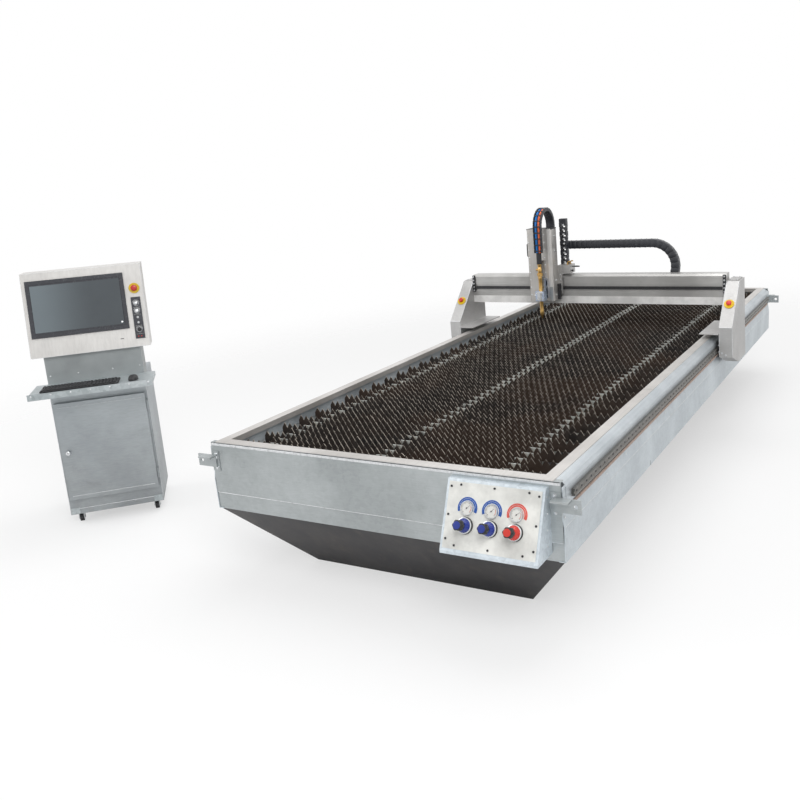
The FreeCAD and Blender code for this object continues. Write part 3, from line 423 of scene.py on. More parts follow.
def burnt_slats():
    """Slats used for cutting: dark brown-black scale, rust patches, and bright tips that are partly
    scraped wear and partly a painted highlight.
    """
    finish = Finish("burnt_slats")
    height = finish.axis("Z")
    scale_marks = finish.noise(24, 5, 0.7, distortion=0.8)
    fine = finish.noise(180, 3, 0.6)
    wide = finish.noise(1.3, 3, 0.6)
    tint = finish.blend(scale_marks.fade(0.35, 0.7), tone(26, 24, 23), tone(56, 50, 46))
    tint = finish.blend(wide.fade(0.42, 0.62) * 0.5, tint, tone(74, 56, 44))
    tint = finish.blend(fine.fade(0.6, 0.75) * 0.25, tint, tone(108, 84, 64))
    # bright tips near the top height: partly scraped wear, partly a painted highlight of light on the
    # tips
    tip = height.fade(0.742, 0.756) * fine.fade(0.3, 0.6)
    tint = finish.blend(tip * 0.8, tint, tone(176, 168, 160))
    return finish.set(Base_Color=tint, Roughness=0.5 + scale_marks * 0.25, Metallic=0.35,
                      Normal=finish.bump(scale_marks + fine * 0.4, 0.5, 0.001))


def scraped_edges_and_highlight():
    """Cut edges of the slats' teeth: bright in patches, partly where plates have rubbed them and partly
    as a painted highlight of light on the edges, dark between.
    """
    finish = Finish("scraped_edges_and_highlight")
    patch = finish.noise(26, 4, 0.7)
    fine = finish.noise(120, 3, 0.6)
    # bright patches: partly rubbed metal, partly a painted highlight on the lit top edges
    tint = finish.blend(patch.fade(0.36, 0.6), tone(52, 46, 42), tone(172, 164, 154))
    tint = finish.blend(fine.fade(0.5, 0.7) * 0.4, tint, tone(96, 80, 66))
    return finish.set(Base_Color=tint, Roughness=0.3 + fine * 0.3, Metallic=0.7)


def hopper_steel():
    """Dark mill-scale steel under the table: soft brown and grey clouds and run marks down the slope."""
    finish = Finish("hopper_steel")
    cloud = finish.noise(2.6, 5, 0.65)
    runs = finish.noise(16, 4, 0.6, at=finish.stretched(1, 1, 0.18))
    tint = finish.blend(cloud.fade(0.32, 0.72), tone(52, 52, 55), tone(78, 76, 76))
    tint = finish.blend(runs.fade(0.5, 0.78) * 0.4, tint, tone(98, 90, 84))
    return finish.set(Base_Color=tint, Roughness=0.42 + cloud * 0.22, Metallic=0.3,
                      Normal=finish.bump(runs, 0.12, 0.001))


def screen_glass():
    """A dark switched-off screen: slate blue, paler on its left side as a painted reflection, with fine
    dust.
    """
    finish = Finish("screen_glass")
    middle = float(CONSOLE @ ASIDE)
    aside = finish.axis("X") * float(ASIDE[0]) + finish.axis("Y") * float(ASIDE[1]) - middle
    # painted reflection: the screen turns paler towards its left side
    left = 1 - aside.fade(-0.30, 0.06)
    dust = finish.noise(300, 3, 0.7)
    haze = finish.noise(5, 3, 0.6)
    tint = finish.blend(left * 0.75 + haze * 0.15, tone(52, 60, 66), tone(112, 124, 130))
    tint = finish.blend(dust.fade(0.66, 0.8) * 0.2, tint, tone(140, 148, 152))
    return finish.set(Base_Color=tint, Roughness=0.16 + dust * 0.06, Coat_Weight=0.6, Coat_Roughness=0.05)


def dial_card():
    """A gauge's white card, slightly yellowed in soft clouds, with a fine print grain."""
    finish = Finish("dial_card")
    grain = finish.noise(500, 2, 0.5)
    cloud = finish.noise(30, 2, 0.5)
    tint = finish.blend(cloud * 0.35, tone(226, 226, 222), tone(206, 204, 196))
    tint = finish.blend(grain.fade(0.6, 0.7) * 0.15, tint, tone(170, 170, 168))
    return finish.set(Base_Color=tint, Roughness=0.3 + grain * 0.1, Coat_Weight=0.5, Coat_Roughness=0.08)


GALVANISED = bare_sheet("galvanised_sheet", (180, 185, 186), (156, 161, 162), (0.25, 1, 5), spangle=0.1)
BOX_ZINC = bare_sheet("box_zinc", (206, 214, 220), (178, 188, 195), (1, 1, 1), spangle=0.35, stain=0.1)
# painted light: the end panels' galvanised sheet made lighter, so the side panels read as lit more than
# the ends
LIT_SIDE_ZINC = bare_sheet("lit_side_zinc", (204, 211, 215), (180, 187, 192), (0.25, 1, 5), spangle=0.1,
                       stain=0.15)
RIM_STEEL = bare_sheet("rim_steel", (216, 213, 210), (190, 186, 182), (1, 0.06, 1), rough=0.32,
                       stain=0.35)
RAIL_BEAM = bare_sheet("rail_beam", (206, 212, 216), (176, 183, 188), (1, 0.04, 1), rough=0.3,
                       stain=0.15)
BED_STEEL = bare_sheet("bed_steel", (158, 160, 160), (118, 120, 120), (1, 0.3, 1), rough=0.45,
                       stain=0.5)
SUPPORT_ZINC = bare_sheet("support_zinc", (214, 216, 212), (168, 170, 166), (1, 0.3, 1),
                          spangle=0.3, stain=0.4)
LEG_SHEET = bare_sheet("leg_sheet", (198, 197, 196), (174, 173, 172), (1, 0.3, 3), rough=0.4, stain=0.2)
BEAM_ALLOY = bare_sheet("beam_alloy", (196, 195, 193), (166, 165, 163), (0.04, 1, 1), rough=0.34,
                        stain=0.2)
STAINLESS = bare_sheet("stainless", (208, 205, 201), (178, 175, 171), (2, 2, 0.08), rough=0.3,
                       stain=0.25)
CABINET = bare_sheet("cabinet_grey", (176, 182, 185), (156, 162, 166), (0.3, 0.3, 3), metal=0.5,
                     stain=0.12, dirt=0.5)
DESK_ZINC = bare_sheet("desk_zinc", (186, 192, 194), (150, 158, 160), (1, 1, 1), spangle=0.3, stain=0.2)
# below the head's lower edge the sheet turns to greyer zinc: partly the galvanised neck, partly painted
# shade under the head
HEAD_SHEET = bare_sheet("head_sheet", (222, 220, 217), (202, 200, 197), (1, 1, 0.1), metal=0.3,
                        rough=0.4, stain=0.08, zinc_and_shade_below=1.099)
RACK_STEEL = machined("rack_steel", (168, 150, 140), 0.4, grain=(1, 0.2, 1))
RAIL_STEEL = machined("rail_steel", (118, 116, 112), 0.32, grain=(1, 0.05, 1))
BRIGHT_STEEL = machined("bright_steel", (214, 216, 218), 0.25)
DARK_STEEL = machined("dark_steel", (70, 70, 72), 0.4)
BRASS = machined("torch_brass", (206, 168, 104), 0.26, grain=(1, 1, 6))
CLAMP_ALLOY = machined("clamp_silver", (190, 202, 222), 0.22)
SLATS = burnt_slats()
SCRAPED_AND_HIGHLIT = scraped_edges_and_highlight()
HOPPER = hopper_steel()
SCREEN_AND_REFLECTION = screen_glass()
DIAL = dial_card()
PLATE_WHITE = painted("gauge_plate_white", (236, 236, 231), 0.45, wear=0.3)
# white cover strip under the beam: its near-white tone is partly white paint and partly a painted
# reflection of the bright surroundings
COVER_WHITE_REFLECTION = painted("cover_white", (240, 239, 237), 0.4, wear=0.2)
MATT_BLACK = painted("matt_black", (34, 34, 37), 0.5, wear=0.3)
CHAIN_BLACK = painted("chain_black", (44, 46, 52), 0.42, 0.3, wear=0.35)
GLOSS_BLACK = painted("gloss_black", (46, 48, 56), 0.22, 0.03, coat=0.4)
RUBBER = painted("wheel_rubber", (48, 48, 50), 0.6, 0.5, wear=0.5)
STOP_RED = painted("stop_red", (222, 40, 34), 0.3, 0.03, coat=0.3)
STOP_YELLOW = painted("stop_yellow", (246, 206, 32), 0.38, 0.03)
KNOB_BLUE = painted("knob_blue", (24, 48, 142), 0.3, 0.04, coat=0.2)
BAND_BLUE = painted("band_blue", (34, 86, 168), 0.4, 0.03)
KNOB_RED = painted("knob_red", (218, 50, 36), 0.3, 0.04, coat=0.2)
BAND_RED = painted("band_red", (222, 92, 80), 0.4, 0.03)
HOSE_BLUE = painted("hose_blue", (8, 116, 198), 0.42, 0.2)
HOSE_ORANGE = painted("hose_orange", (236, 112, 60), 0.42, 0.2)

NODE_FINISH = {
    "end_panels": GALVANISED, "side_panels": LIT_SIDE_ZINC, "corner_plates": GALVANISED,
    "corner_lugs": GALVANISED, "gauge_box": BOX_ZINC, "leg_covers": LEG_SHEET,
    "side_rims": RIM_STEEL, "end_rims": RIM_STEEL, "dust_hopper": HOPPER, "side_beams": RAIL_BEAM,
    "side_rails": RAIL_STEEL, "beam_guide": DARK_STEEL, "gear_racks": RACK_STEEL,
    "cutting_slats": SLATS, "slat_ledges": BED_STEEL, "cross_bars": BED_STEEL,
    "slat_supports": SUPPORT_ZINC, "gauge_plate": PLATE_WHITE, "pressure_gauges": BRIGHT_STEEL,
    "gas_regulators": MATT_BLACK, "oxygen_knob": KNOB_BLUE, "air_knob": KNOB_BLUE,
    "fuel_knob": KNOB_RED, "gantry_legs": LEG_SHEET, "cross_beam": BEAM_ALLOY,
    "beam_cover": COVER_WHITE_REFLECTION, "bearing_blocks": MATT_BLACK, "leg_stop_discs": STOP_YELLOW,
    "panel_stop_disc": STOP_YELLOW, "leg_stop_buttons": STOP_RED, "panel_stop_button": STOP_RED,
    "chain_tray": LEG_SHEET, "beam_cable_chain": CHAIN_BLACK, "lift_cable_chain": CHAIN_BLACK,
    "hose_carrier": CHAIN_BLACK, "carriage_plate": BEAM_ALLOY, "lift_housing": STAINLESS,
    "carriage_handles": MATT_BLACK, "torch_body": BRASS, "torch_sleeve": MATT_BLACK,
    "torch_clamp": CLAMP_ALLOY, "blue_hose": HOSE_BLUE, "orange_hose": HOSE_ORANGE,
    "console_cabinet": CABINET, "cabinet_door": CABINET, "monitor_housing": HEAD_SHEET,
    "keyboard_desk": DESK_ZINC, "console_fascias": GLOSS_BLACK, "screen": SCREEN_AND_REFLECTION,
    "keyboard_and_mouse": MATT_BLACK, "caster_fork_front_left": BRIGHT_STEEL,
    "caster_fork_front_right": BRIGHT_STEEL, "caster_forks_rear": BRIGHT_STEEL,
    "caster_wheel_front_left": RUBBER, "caster_wheel_front_right": RUBBER,
    "caster_wheel_rear_left": RUBBER, "caster_wheel_rear_right": RUBBER,
}
for node_name, node in nodes.items():
    node.data.materials.clear()
    node.data.materials.append(NODE_FINISH[node_name])


# table: slats, supports, rails and fastenings

SLAT_THICK = 0.004
SLAT_ROWS = 65
HALF_TEETH = 95
SHORT_SLAT_IN = 6
TOOTH_DEPTH = 0.030
TAB_WIDE, TAB_THICK, TAB_BEHIND, TAB_UNDER_TIPS = 0.060, 0.0032, 0.0052, 0.008
PANEL_FOLD_Z, SIDE_CREASE_Z = 0.488, 0.562


def slat_rows():
    """Middle lines of all slats from front to back: every second one is full length and stands for a
    solid slat, the ones between are shorter."""
    low, high = span("cutting_slats")
    rows = np.linspace(low[1] + SLAT_THICK / 2, high[1] - SLAT_THICK / 2, SLAT_ROWS)
    return rows, np.arange(SLAT_ROWS) % 2 == 0


def toothed_slats():
    """Slats with two teeth where the solid has one, and shorter ones between them. Along each slat the
    top edge runs between valley and tip heights at every half pitch; each tip is worn by its own small
    amount and the slat bows slightly. A thin strip follows the top edge, coloured as scraped metal with a
    painted highlight."""
    low, high = span("cutting_slats")
    rows, is_long = slat_rows()
    count, stations = SLAT_ROWS, HALF_TEETH
    x_all = np.linspace(low[0], high[0], stations)
    is_tip = (np.arange(stations) % 2 == 1).astype(float)
    wear = rng.gamma(1.2, 0.0012, (count, stations))
    burnt = (rng.random((count, stations)) > 0.975) * rng.uniform(0.006, 0.016, (count, stations))
    top = high[2] - 0.0007 - TOOTH_DEPTH * (1 - is_tip) - np.minimum(wear + burnt, 0.02) * is_tip
    bow = 0.002 * np.sin(x_all[None] * 5 + rng.uniform(0, 6, (count, 1)))
    shift = np.clip(bow + rng.normal(0, 0.0007, (count, stations)), -0.003, 0.003)
    slats, edges = Surface(), Surface()

    def strip(surface, x, near, far, foot, crest):
        corners = [(near, foot), (near, crest), (far, crest), (far, foot)]
        rings = np.stack([np.stack([x, y_side, z_side], -1) for y_side, z_side in corners], 1)
        surface.grid(rings, ring=True).lid(rings[0]).lid(rings[-1])

    for row in range(count):
        part = slice(None) if is_long[row] else slice(SHORT_SLAT_IN, -SHORT_SLAT_IN)
        x = x_all[part]
        steady = 1 if 0 < row < count - 1 else 0
        y = rows[row] + shift[row][part] * steady
        near, far = y - SLAT_THICK / 2, y + SLAT_THICK / 2
        crest = top[row][part]
        foot = np.full(len(x), low[2] + (0 if is_long[row] else 0.004))
        strip(slats, x, near, far, foot, crest)
        strip(edges, x, near - 0.0002, far + 0.0002, crest - 0.0009, crest + 0.0003)
    slats.make("toothed_slats", TABLE, SLATS, "slat_steel", ["cutting_slats"], smooth=20)
    # the top-edge strip's bright patches are partly a painted highlight of the teeth's lit edges
    edges.make("scraped_edges_and_highlight", TABLE, SCRAPED_AND_HIGHLIT, "slat_steel", smooth=20)


def support_tabs():
    """Pale upright tabs behind every slat at the three supports, flat on top, each turned and set by a
    slightly different amount."""
    low, high = span("slat_supports")
    top = span("cutting_slats")[1][2] - TAB_UNDER_TIPS
    rows = slat_rows()[0]
    tabs = Surface()
    for middle in (low[0] + 0.006, 0.0, high[0] - 0.006):
        for y in rows[:-1]:
            tall = top - low[2] - 0.010 - rng.uniform(0, 0.004)
            tab = cushioned(TAB_WIDE, TAB_THICK, tall, 0.0008)
            turn = rng.normal(0, 0.01)
            x_axis = np.array([math.cos(turn), math.sin(turn), 0.0])
            spot = [middle + rng.normal(0, 0.002), y + SLAT_THICK / 2 + TAB_BEHIND, low[2] + 0.010]
            tabs.add(tab.put(spot, x_axis, np.cross(UP, x_axis), UP))
    tabs.make("support_tabs", TABLE, SUPPORT_ZINC, "support_steel", smooth=20)


def rack_teeth():
    """Gear rack teeth: a row of trapezia whose outer face steps in and out four times per 6 mm pitch."""
    low, high = span("gear_racks")
    pitch = 0.0062
    count = int((high[1] - low[1] - 0.01) / pitch)
    steps = (np.arange(count)[:, None] + np.array([0.0, 0.2, 0.5, 0.7])[None]).ravel()
    y = low[1] + 0.005 + steps * pitch
    out = np.tile([0.0, 1.0, 1.0, 0.0], count) * 0.0024
    teeth = Surface()
    for side in (-1, 1):
        face = side * (high[0] - 0.0004 + out)
        inner = np.full(len(y), side * (high[0] - 0.001))
        z_low, z_high = np.full(len(y), low[2] + 0.003), np.full(len(y), high[2] - 0.003)
        corners = [(inner, z_low), (face, z_low), (face, z_high), (inner, z_high)]
        rings = np.stack([np.stack([x_side, y, z_side], -1) for x_side, z_side in corners], 1)
        teeth.grid(rings, ring=True).lid(rings[0]).lid(rings[-1])
    teeth.make("rack_teeth", TABLE, RACK_STEEL, "rack_steel", smooth=20)


def row_of(start, end, count):
    """Points at equal steps between two ends."""
    return np.linspace(start, end, count)


def mirrored(points, axis=0):
    """Points and their images across the middle plane of an axis."""
    points = np.atleast_2d(np.asarray(points, float))
    image = points.copy()
    image[:, axis] *= -1
    return points, image


def table_fastenings():
    """Counterbored screws along both rails, screws at the side panels' ends, rivets under the beams and
    the bolts of the corner plates."""
    low, high = span("side_rails")
    count = 80
    y = row_of(low[1] + 0.03, high[1] - 0.03, count)
    groove = high[0] - 0.004
    z = (low[2] + high[2]) / 2
    right = np.column_stack([np.full(count, groove), y, np.full(count, z)])
    right, left = mirrored(right)
    washer = turned([(0.0062, 0), (0.0062, 0.0012), (0.0046, 0.0016), (0.004, 0.0004), (0, 0.0003)], 12)
    screws = washer.repeat(right, ACROSS).add(washer.repeat(left, -ACROSS))
    screws.make("rail_screws", TABLE, DARK_STEEL, "rail_steel")

    panel_low, panel_high = span("side_panels")
    face = panel_high[0] - 0.004
    y = row_of(-2.28, 2.28, 14)
    rivets = np.column_stack([np.full(14, face - 0.0015), y + 0.03 * np.sin(y * 9), np.full(14, 0.603)])
    z = row_of(panel_low[2] + 0.03, panel_low[2] + 0.2, 5)
    ends = np.concatenate([np.column_stack([np.full(5, face - 0.0005), np.full(5, end), z])
                           for end in (panel_low[1] + 0.018, panel_high[1] - 0.018)])
    dots, dots_left = mirrored(np.concatenate([rivets, ends]))
    head = dome_screw(0.0055, 0.003)
    heads = head.repeat(dots, ACROSS).add(head.repeat(dots_left, -ACROSS))

    plate_low, plate_high = span("corner_plates")
    plate = [[0.948, plate_low[1], z] for z in (plate_high[2] - 0.016, plate_high[2] - 0.036,
                                                plate_low[2] + 0.018)]
    bolt = hex_bolt(0.0065, 0.0055)
    near, far_side = mirrored(plate)
    spots = np.concatenate([near, far_side])
    heads.add(bolt.repeat(spots, -ALONG)).add(bolt.repeat(spots * [1, -1, 1], ALONG))
    heads.make("panel_screws", TABLE, BRIGHT_STEEL, "galvanised_sheet")


def folded_edges():
    """Bright beads where the sheet is folded, as painted highlights: thin half-round beads of brighter
    steel carried along each fold and a bright lip along each end's top edge, and narrow cover strips over
    the side panels' seam. Small blocks close the side beams' open ends."""
    end_high = span("end_panels")[1]
    side_low, side_high = span("side_panels")
    highlight_beads = Surface()
    # painted highlight: beads and lips of brighter steel than the sheet along the folds
    for end in (-1, 1):
        y = end * (end_high[1] - 0.0016)
        path = np.array([[x, y, PANEL_FOLD_Z + 0.002] for x in (-0.972, 0.972)])
        highlight_beads.add(tube(path, 0.0021, UP, 8))
    for side in (-1, 1):
        x = side * (side_high[0] - 0.0016)
        path = np.array([[x, y, SIDE_CREASE_Z] for y in (side_low[1] + 0.004, side_high[1] - 0.004)])
        highlight_beads.add(tube(path, 0.0021, UP, 8))
    for end in (-1, 1):
        lip = block_between([-0.9725, -0.0012, 0.7475], [0.9725, 0.0012, 0.7600], 0.0008)
        highlight_beads.add(lip.put([0, end * (end_high[1] + 0.0006), 0], ACROSS, ALONG, UP))
    highlight_beads.make("fold_highlights", TABLE, BRIGHT_STEEL, "galvanised_sheet")
    caps = Surface()
    beam_end = span("side_beams")[1][1]
    cap_low, cap_high = 0.9765, 0.9846
    for side in (-1, 1):
        for end in (-1, 1):
            deep = end_high[1] - 0.001 - beam_end
            cap = block_between([cap_low, 0, 0.634], [cap_high, deep, 0.742], 0.003)
            x = 0 if side > 0 else -cap_low - cap_high
            y = beam_end if end > 0 else -beam_end - deep
            caps.add(cap.put([x, y, 0], ACROSS, ALONG, UP))
    caps.make("beam_end_caps", TABLE, RAIL_BEAM, "galvanised_sheet")
    seams = Surface()
    for side in (-1, 1):
        for y in (-1.22, 1.22):
            seams.add(block_between([0.9775, y - 0.0015, 0.404], [0.9812, y + 0.0015, 0.43], 0.0003)
                      .put([0, 0, 0], [side, 0, 0], ALONG, UP))
    for end in (-1, 1):
        y = end * (end_high[1] + 0.0004)
        seam = block_between([-0.972, -0.0008, 0.7605], [0.972, 0.0008, 0.7630], 0.0003)
        seams.add(seam.put([0, y, 0], ACROSS, ALONG, UP))
    seams.make("panel_seams", TABLE, DARK_STEEL, "galvanised_sheet")


toothed_slats()
support_tabs()
rack_teeth()
table_fastenings()
folded_edges()


# gauges and regulators on the tilted white plate

TILT = math.radians(24)
FACE_DOWN = np.array([0.0, -math.sin(TILT), -math.cos(TILT)])
FACE_OUT = np.array([0.0, -math.cos(TILT), math.sin(TILT)])
box_low, box_high = span("gauge_box")
FACE_TOP = np.array([box_low[0], span("end_panels")[0][1] - 0.030, box_high[2]])
COLUMNS = [0.114, 0.232, 0.350]
GAUGE_DROP, REGULATOR_DROP, PLATE = 0.120, 0.194, 0.003


def on_plate(across, drop, out=0.0):
    """A point of the tilted face: across from its left edge, down from its top edge, out of it."""
    return FACE_TOP + ACROSS * across + FACE_DOWN * drop + FACE_OUT * (PLATE + out)


def stand_on_plate(shape, across, drop, out=0.0):
    """A surface set square on the tilted face."""
    return shape.put(on_plate(across, drop, out), ACROSS, -FACE_DOWN, FACE_OUT)


def sector(inner, outer, start, end, thick, steps=28):
    """A flat band between two radii: points (radius * cos t, radius * sin t) for t from start to end, on
    four edges of its cross-section."""
    t = np.radians(np.linspace(start, end, steps))
    edges = [(inner, 0), (outer, 0), (outer, thick), (inner, thick)]
    rings = [np.stack([r * np.cos(t), r * np.sin(t), np.full(steps, h)], -1) for r, h in edges]
    rings = np.stack(rings, 1)
    return Surface().grid(rings, ring=True).lid(rings[0]).lid(rings[-1])


def ticks(radius, count, start, end, long, wide, thick):
    """Scale marks: small bars standing along the radius at equal angles."""
    t = np.radians(np.linspace(start, end, count))
    bar = cushioned(long, wide, thick, min(wide, thick) * 0.2)
    marks = Surface()
    for angle in t:
        way = np.array([math.cos(angle), math.sin(angle), 0.0])
        marks.add(bar.put(way * radius, way, np.cross(UP, way), UP))
    return marks


def pressure_gauges():
    """Three round gauges: rolled rim, white card with scale marks, red arc and a needle on a hub."""
    depth = 0.012
    rim = turned([(0.0306, 0), (0.0309, depth - 0.003), (0.0302, depth - 0.0004),
                  (0.0285, depth - 0.0002), (0.0275, depth - 0.0015), (0.0272, depth - 0.004),
                  (0.0272, 0.001)], 40)
    card = turned([(0.0274, depth - 0.0048), (0.012, depth - 0.0046), (0, depth - 0.0046)], 40)
    glass_lip = turned([(0.0278, depth - 0.0026), (0.0272, depth - 0.0020), (0.0268, depth - 0.003)], 40)
    face = depth - 0.0044
    marks = ticks(0.0232, 26, -45, 225, 0.0036, 0.0005, 0.0003)
    marks.add(ticks(0.0226, 6, -45, 225, 0.0052, 0.001, 0.0004))
    danger = sector(0.0196, 0.0212, -45, 30, 0.0003)
    needle = block_between([-0.0005, -0.008, 0], [0.0005, 0.019, 0.0006], 0.0002)
    hub = turned([(0.0028, 0), (0.0028, 0.0012), (0.002, 0.0018), (0, 0.002)], 14)
    rims, cards, print_black, print_red = Surface(), Surface(), Surface(), Surface()
    for index, column in enumerate(COLUMNS):
        for shape in (rim, glass_lip):
            rims.add(stand_on_plate(shape, column, GAUGE_DROP))
        cards.add(stand_on_plate(card, column, GAUGE_DROP))
        print_black.add(stand_on_plate(marks, column, GAUGE_DROP, face))
        print_red.add(stand_on_plate(danger, column, GAUGE_DROP, face))
        turn = math.radians((-48, -44, -52)[index])
        x_axis = ACROSS * math.cos(turn) - FACE_DOWN * math.sin(turn)
        y_axis = np.cross(FACE_OUT, x_axis)
        spot = on_plate(column, GAUGE_DROP, face + 0.0006)
        print_black.add(needle.put(spot, x_axis, y_axis, FACE_OUT))
        print_black.add(hub.put(spot, x_axis, y_axis, FACE_OUT))
    rims.make("gauge_rims", TABLE, BRIGHT_STEEL, "gauge_steel", ["pressure_gauges"])
    cards.make("gauge_cards", TABLE, DIAL, "gauge_plate_white")
    print_black.make("gauge_marks", TABLE, MATT_BLACK, "regulator_black")
    print_red.make("gauge_red_arcs", TABLE, BAND_RED, "knob_red")


def gauge_bands():
    """Coloured bands round the upper side of each gauge, with a thin pale line along the middle."""
    band = sector(0.0335, 0.0475, -22, 202, 0.0012, 40)
    line = sector(0.0402, 0.0410, 4, 176, 0.0014, 40)
    blue = stand_on_plate(band, COLUMNS[0], GAUGE_DROP).add(stand_on_plate(band, COLUMNS[1], GAUGE_DROP))
    blue.make("blue_gauge_bands", TABLE, BAND_BLUE, "knob_blue", smooth=30)
    red = stand_on_plate(band, COLUMNS[2], GAUGE_DROP)
    red.make("red_gauge_band", TABLE, BAND_RED, "knob_red", smooth=30)
    pale = Surface()
    for column in COLUMNS:
        pale.add(stand_on_plate(line, column, GAUGE_DROP))
    pale.make("band_lines", TABLE, DIAL, "gauge_plate_white", smooth=30)


def regulators():
    """Three regulators: black body, bright ring, coloured bonnet with ribs (its radius waves with the
    angle) and a dark stem up to the knob."""
    body = turned([(0.0365, 0), (0.0368, 0.004), (0.0355, 0.010), (0.031, 0.012)], 36)
    ring = turned([(0.0345, 0.0105), (0.0352, 0.013), (0.0345, 0.0165), (0.0315, 0.0175),
                   (0.030, 0.0165)], 36)
    bonnet = turned([(0.0305, 0.0165), (0.0297, 0.021), (0.027, 0.026), (0.0215, 0.033), (0.0175, 0.0375),
                     (0.011, 0.038)], 72, 18, 0.035)
    stem = turned([(0.0115, 0.036), (0.0115, 0.0405), (0.0145, 0.0415), (0.0145, 0.0445),
                   (0.0085, 0.0455), (0.0085, 0.046), (0, 0.046)], 24)
    bodies, rings, blue, stems = Surface(), Surface(), Surface(), Surface()
    for index, column in enumerate(COLUMNS):
        bodies.add(stand_on_plate(body, column, REGULATOR_DROP))
        rings.add(stand_on_plate(ring, column, REGULATOR_DROP))
        stems.add(stand_on_plate(stem, column, REGULATOR_DROP))
        if index < 2:
            blue.add(stand_on_plate(bonnet, column, REGULATOR_DROP))
    bodies.add(stems)
    bodies.make("regulator_bodies", TABLE, MATT_BLACK, "regulator_black", ["gas_regulators"])
    rings.make("regulator_rings", TABLE, BRIGHT_STEEL, "gauge_steel")
    blue.make("blue_bonnets", TABLE, KNOB_BLUE, "knob_blue")
    stand_on_plate(bonnet, COLUMNS[2], REGULATOR_DROP).make("red_bonnet", TABLE, KNOB_RED, "knob_red")


def regulator_knob(name, column, colour, slot):
    """A hand knob with six grip lobes, its radius times (1 + 0.07 cos 6t), and a coloured front cap."""
    out = 0.038 + 0.008 + 0.0003
    grip = turned([(0.012, 0), (0.0200, 0.002), (0.0228, 0.008), (0.0228, 0.028), (0.0208, 0.034),
                   (0.018, 0.036), (0, 0.036)], 72, 6, 0.07)
    cap = turned([(0.0172, 0.0355), (0.0168, 0.0372), (0.015, 0.0378), (0.008, 0.038), (0, 0.038)], 32)
    grip = stand_on_plate(grip, column, REGULATOR_DROP, out)
    grip.make(name + "_grip", name, MATT_BLACK, "regulator_black", [name])
    stand_on_plate(cap, column, REGULATOR_DROP, out).make(name + "_cap", name, colour, slot)


def plate_screws():
    """Twelve small dark screws round the plate's edge and bright rivets down the box's side walls."""
    size = box_high[0] - box_low[0]
    long = 0.311
    spots = [(across, drop) for drop in (0.034, long / 2, long - 0.052)
             for across in (0.024, size - 0.024)]
    spots += [(across, drop) for drop in (0.024, long - 0.028)
              for across in (0.07, size / 2, size - 0.07)]
    head = cap_screw(0.0052, 0.003)
    screws = Surface()
    for across, drop in spots:
        screws.add(stand_on_plate(head, across, drop))
    screws.make("plate_screws", TABLE, DARK_STEEL, "regulator_black")
    rivet = dome_screw(0.0045, 0.0022)
    z = np.array([0.49, 0.56, 0.63, 0.70])
    y = -2.456 - (0.735 - z) * 0.12
    wall = np.column_stack([np.full(4, box_high[0]), y, z])
    rivets = rivet.repeat(wall, ACROSS)
    wall[:, 0] = box_low[0]
    rivets.add(rivet.repeat(wall, -ACROSS))
    rivets.make("box_rivets", TABLE, BRIGHT_STEEL, "galvanised_sheet")


pressure_gauges()
gauge_bands()
regulators()
regulator_knob("oxygen_knob", COLUMNS[0], KNOB_BLUE, "knob_blue")
regulator_knob("air_knob", COLUMNS[1], KNOB_BLUE, "knob_blue")
regulator_knob("fuel_knob", COLUMNS[2], KNOB_RED, "knob_red")
plate_screws()


# gantry: emergency stops, fastenings and the cable chain

leg_low, leg_high = span("gantry_legs")
beam_low, beam_high = span("cross_beam")
LEG_IN, LEG_OUT = beam_high[0], leg_high[0]
KNEE_Z, SLOPE_RUN = 0.843, 0.266
SLOPE_UP = unit([0.0, SLOPE_RUN, leg_high[2] - KNEE_Z])
SLOPE_OUT = np.array([0.0, -SLOPE_UP[2], SLOPE_UP[1]])
STOP_SPOT = np.array([(LEG_IN + LEG_OUT) / 2, leg_low[1] + SLOPE_RUN / 2, (KNEE_Z + leg_high[2]) / 2])


def mushroom():
    """A mushroom button: flared neck, swelling head with a rounded crown."""
    return turned([(0.0125, 0), (0.0125, 0.005), (0.0165, 0.0062), (0.0188, 0.0085), (0.019, 0.012),
                   (0.0175, 0.0155), (0.0135, 0.0174), (0.007, 0.018), (0, 0.018)], 32)


def stop_base(radius):
    """The yellow disc under a stop button, slightly dished between two raised rings."""
    return turned([(radius, 0), (radius, 0.0045), (radius * 0.95, 0.006), (radius * 0.86, 0.0056),
                   (radius * 0.6, 0.0048), (radius * 0.42, 0.006), (radius * 0.36, 0.006),
                   (0, 0.005)], 40)


def leg_stops():
    """Emergency stops on both legs' sloping faces: yellow discs and red heads."""
    discs, heads = Surface(), Surface()
    for side in (-1, 1):
        spot = STOP_SPOT * [side, 1, 1]
        discs.add(stop_base(0.035).put(spot, ACROSS, SLOPE_UP, SLOPE_OUT))
        heads.add(mushroom().put(spot + SLOPE_OUT * 0.006, ACROSS, SLOPE_UP, SLOPE_OUT))
    discs.make("leg_stop_bases", "gantry", STOP_YELLOW, "stop_yellow", ["leg_stop_discs"])
    heads.make("leg_stop_heads", "gantry", STOP_RED, "stop_red", ["leg_stop_buttons"])


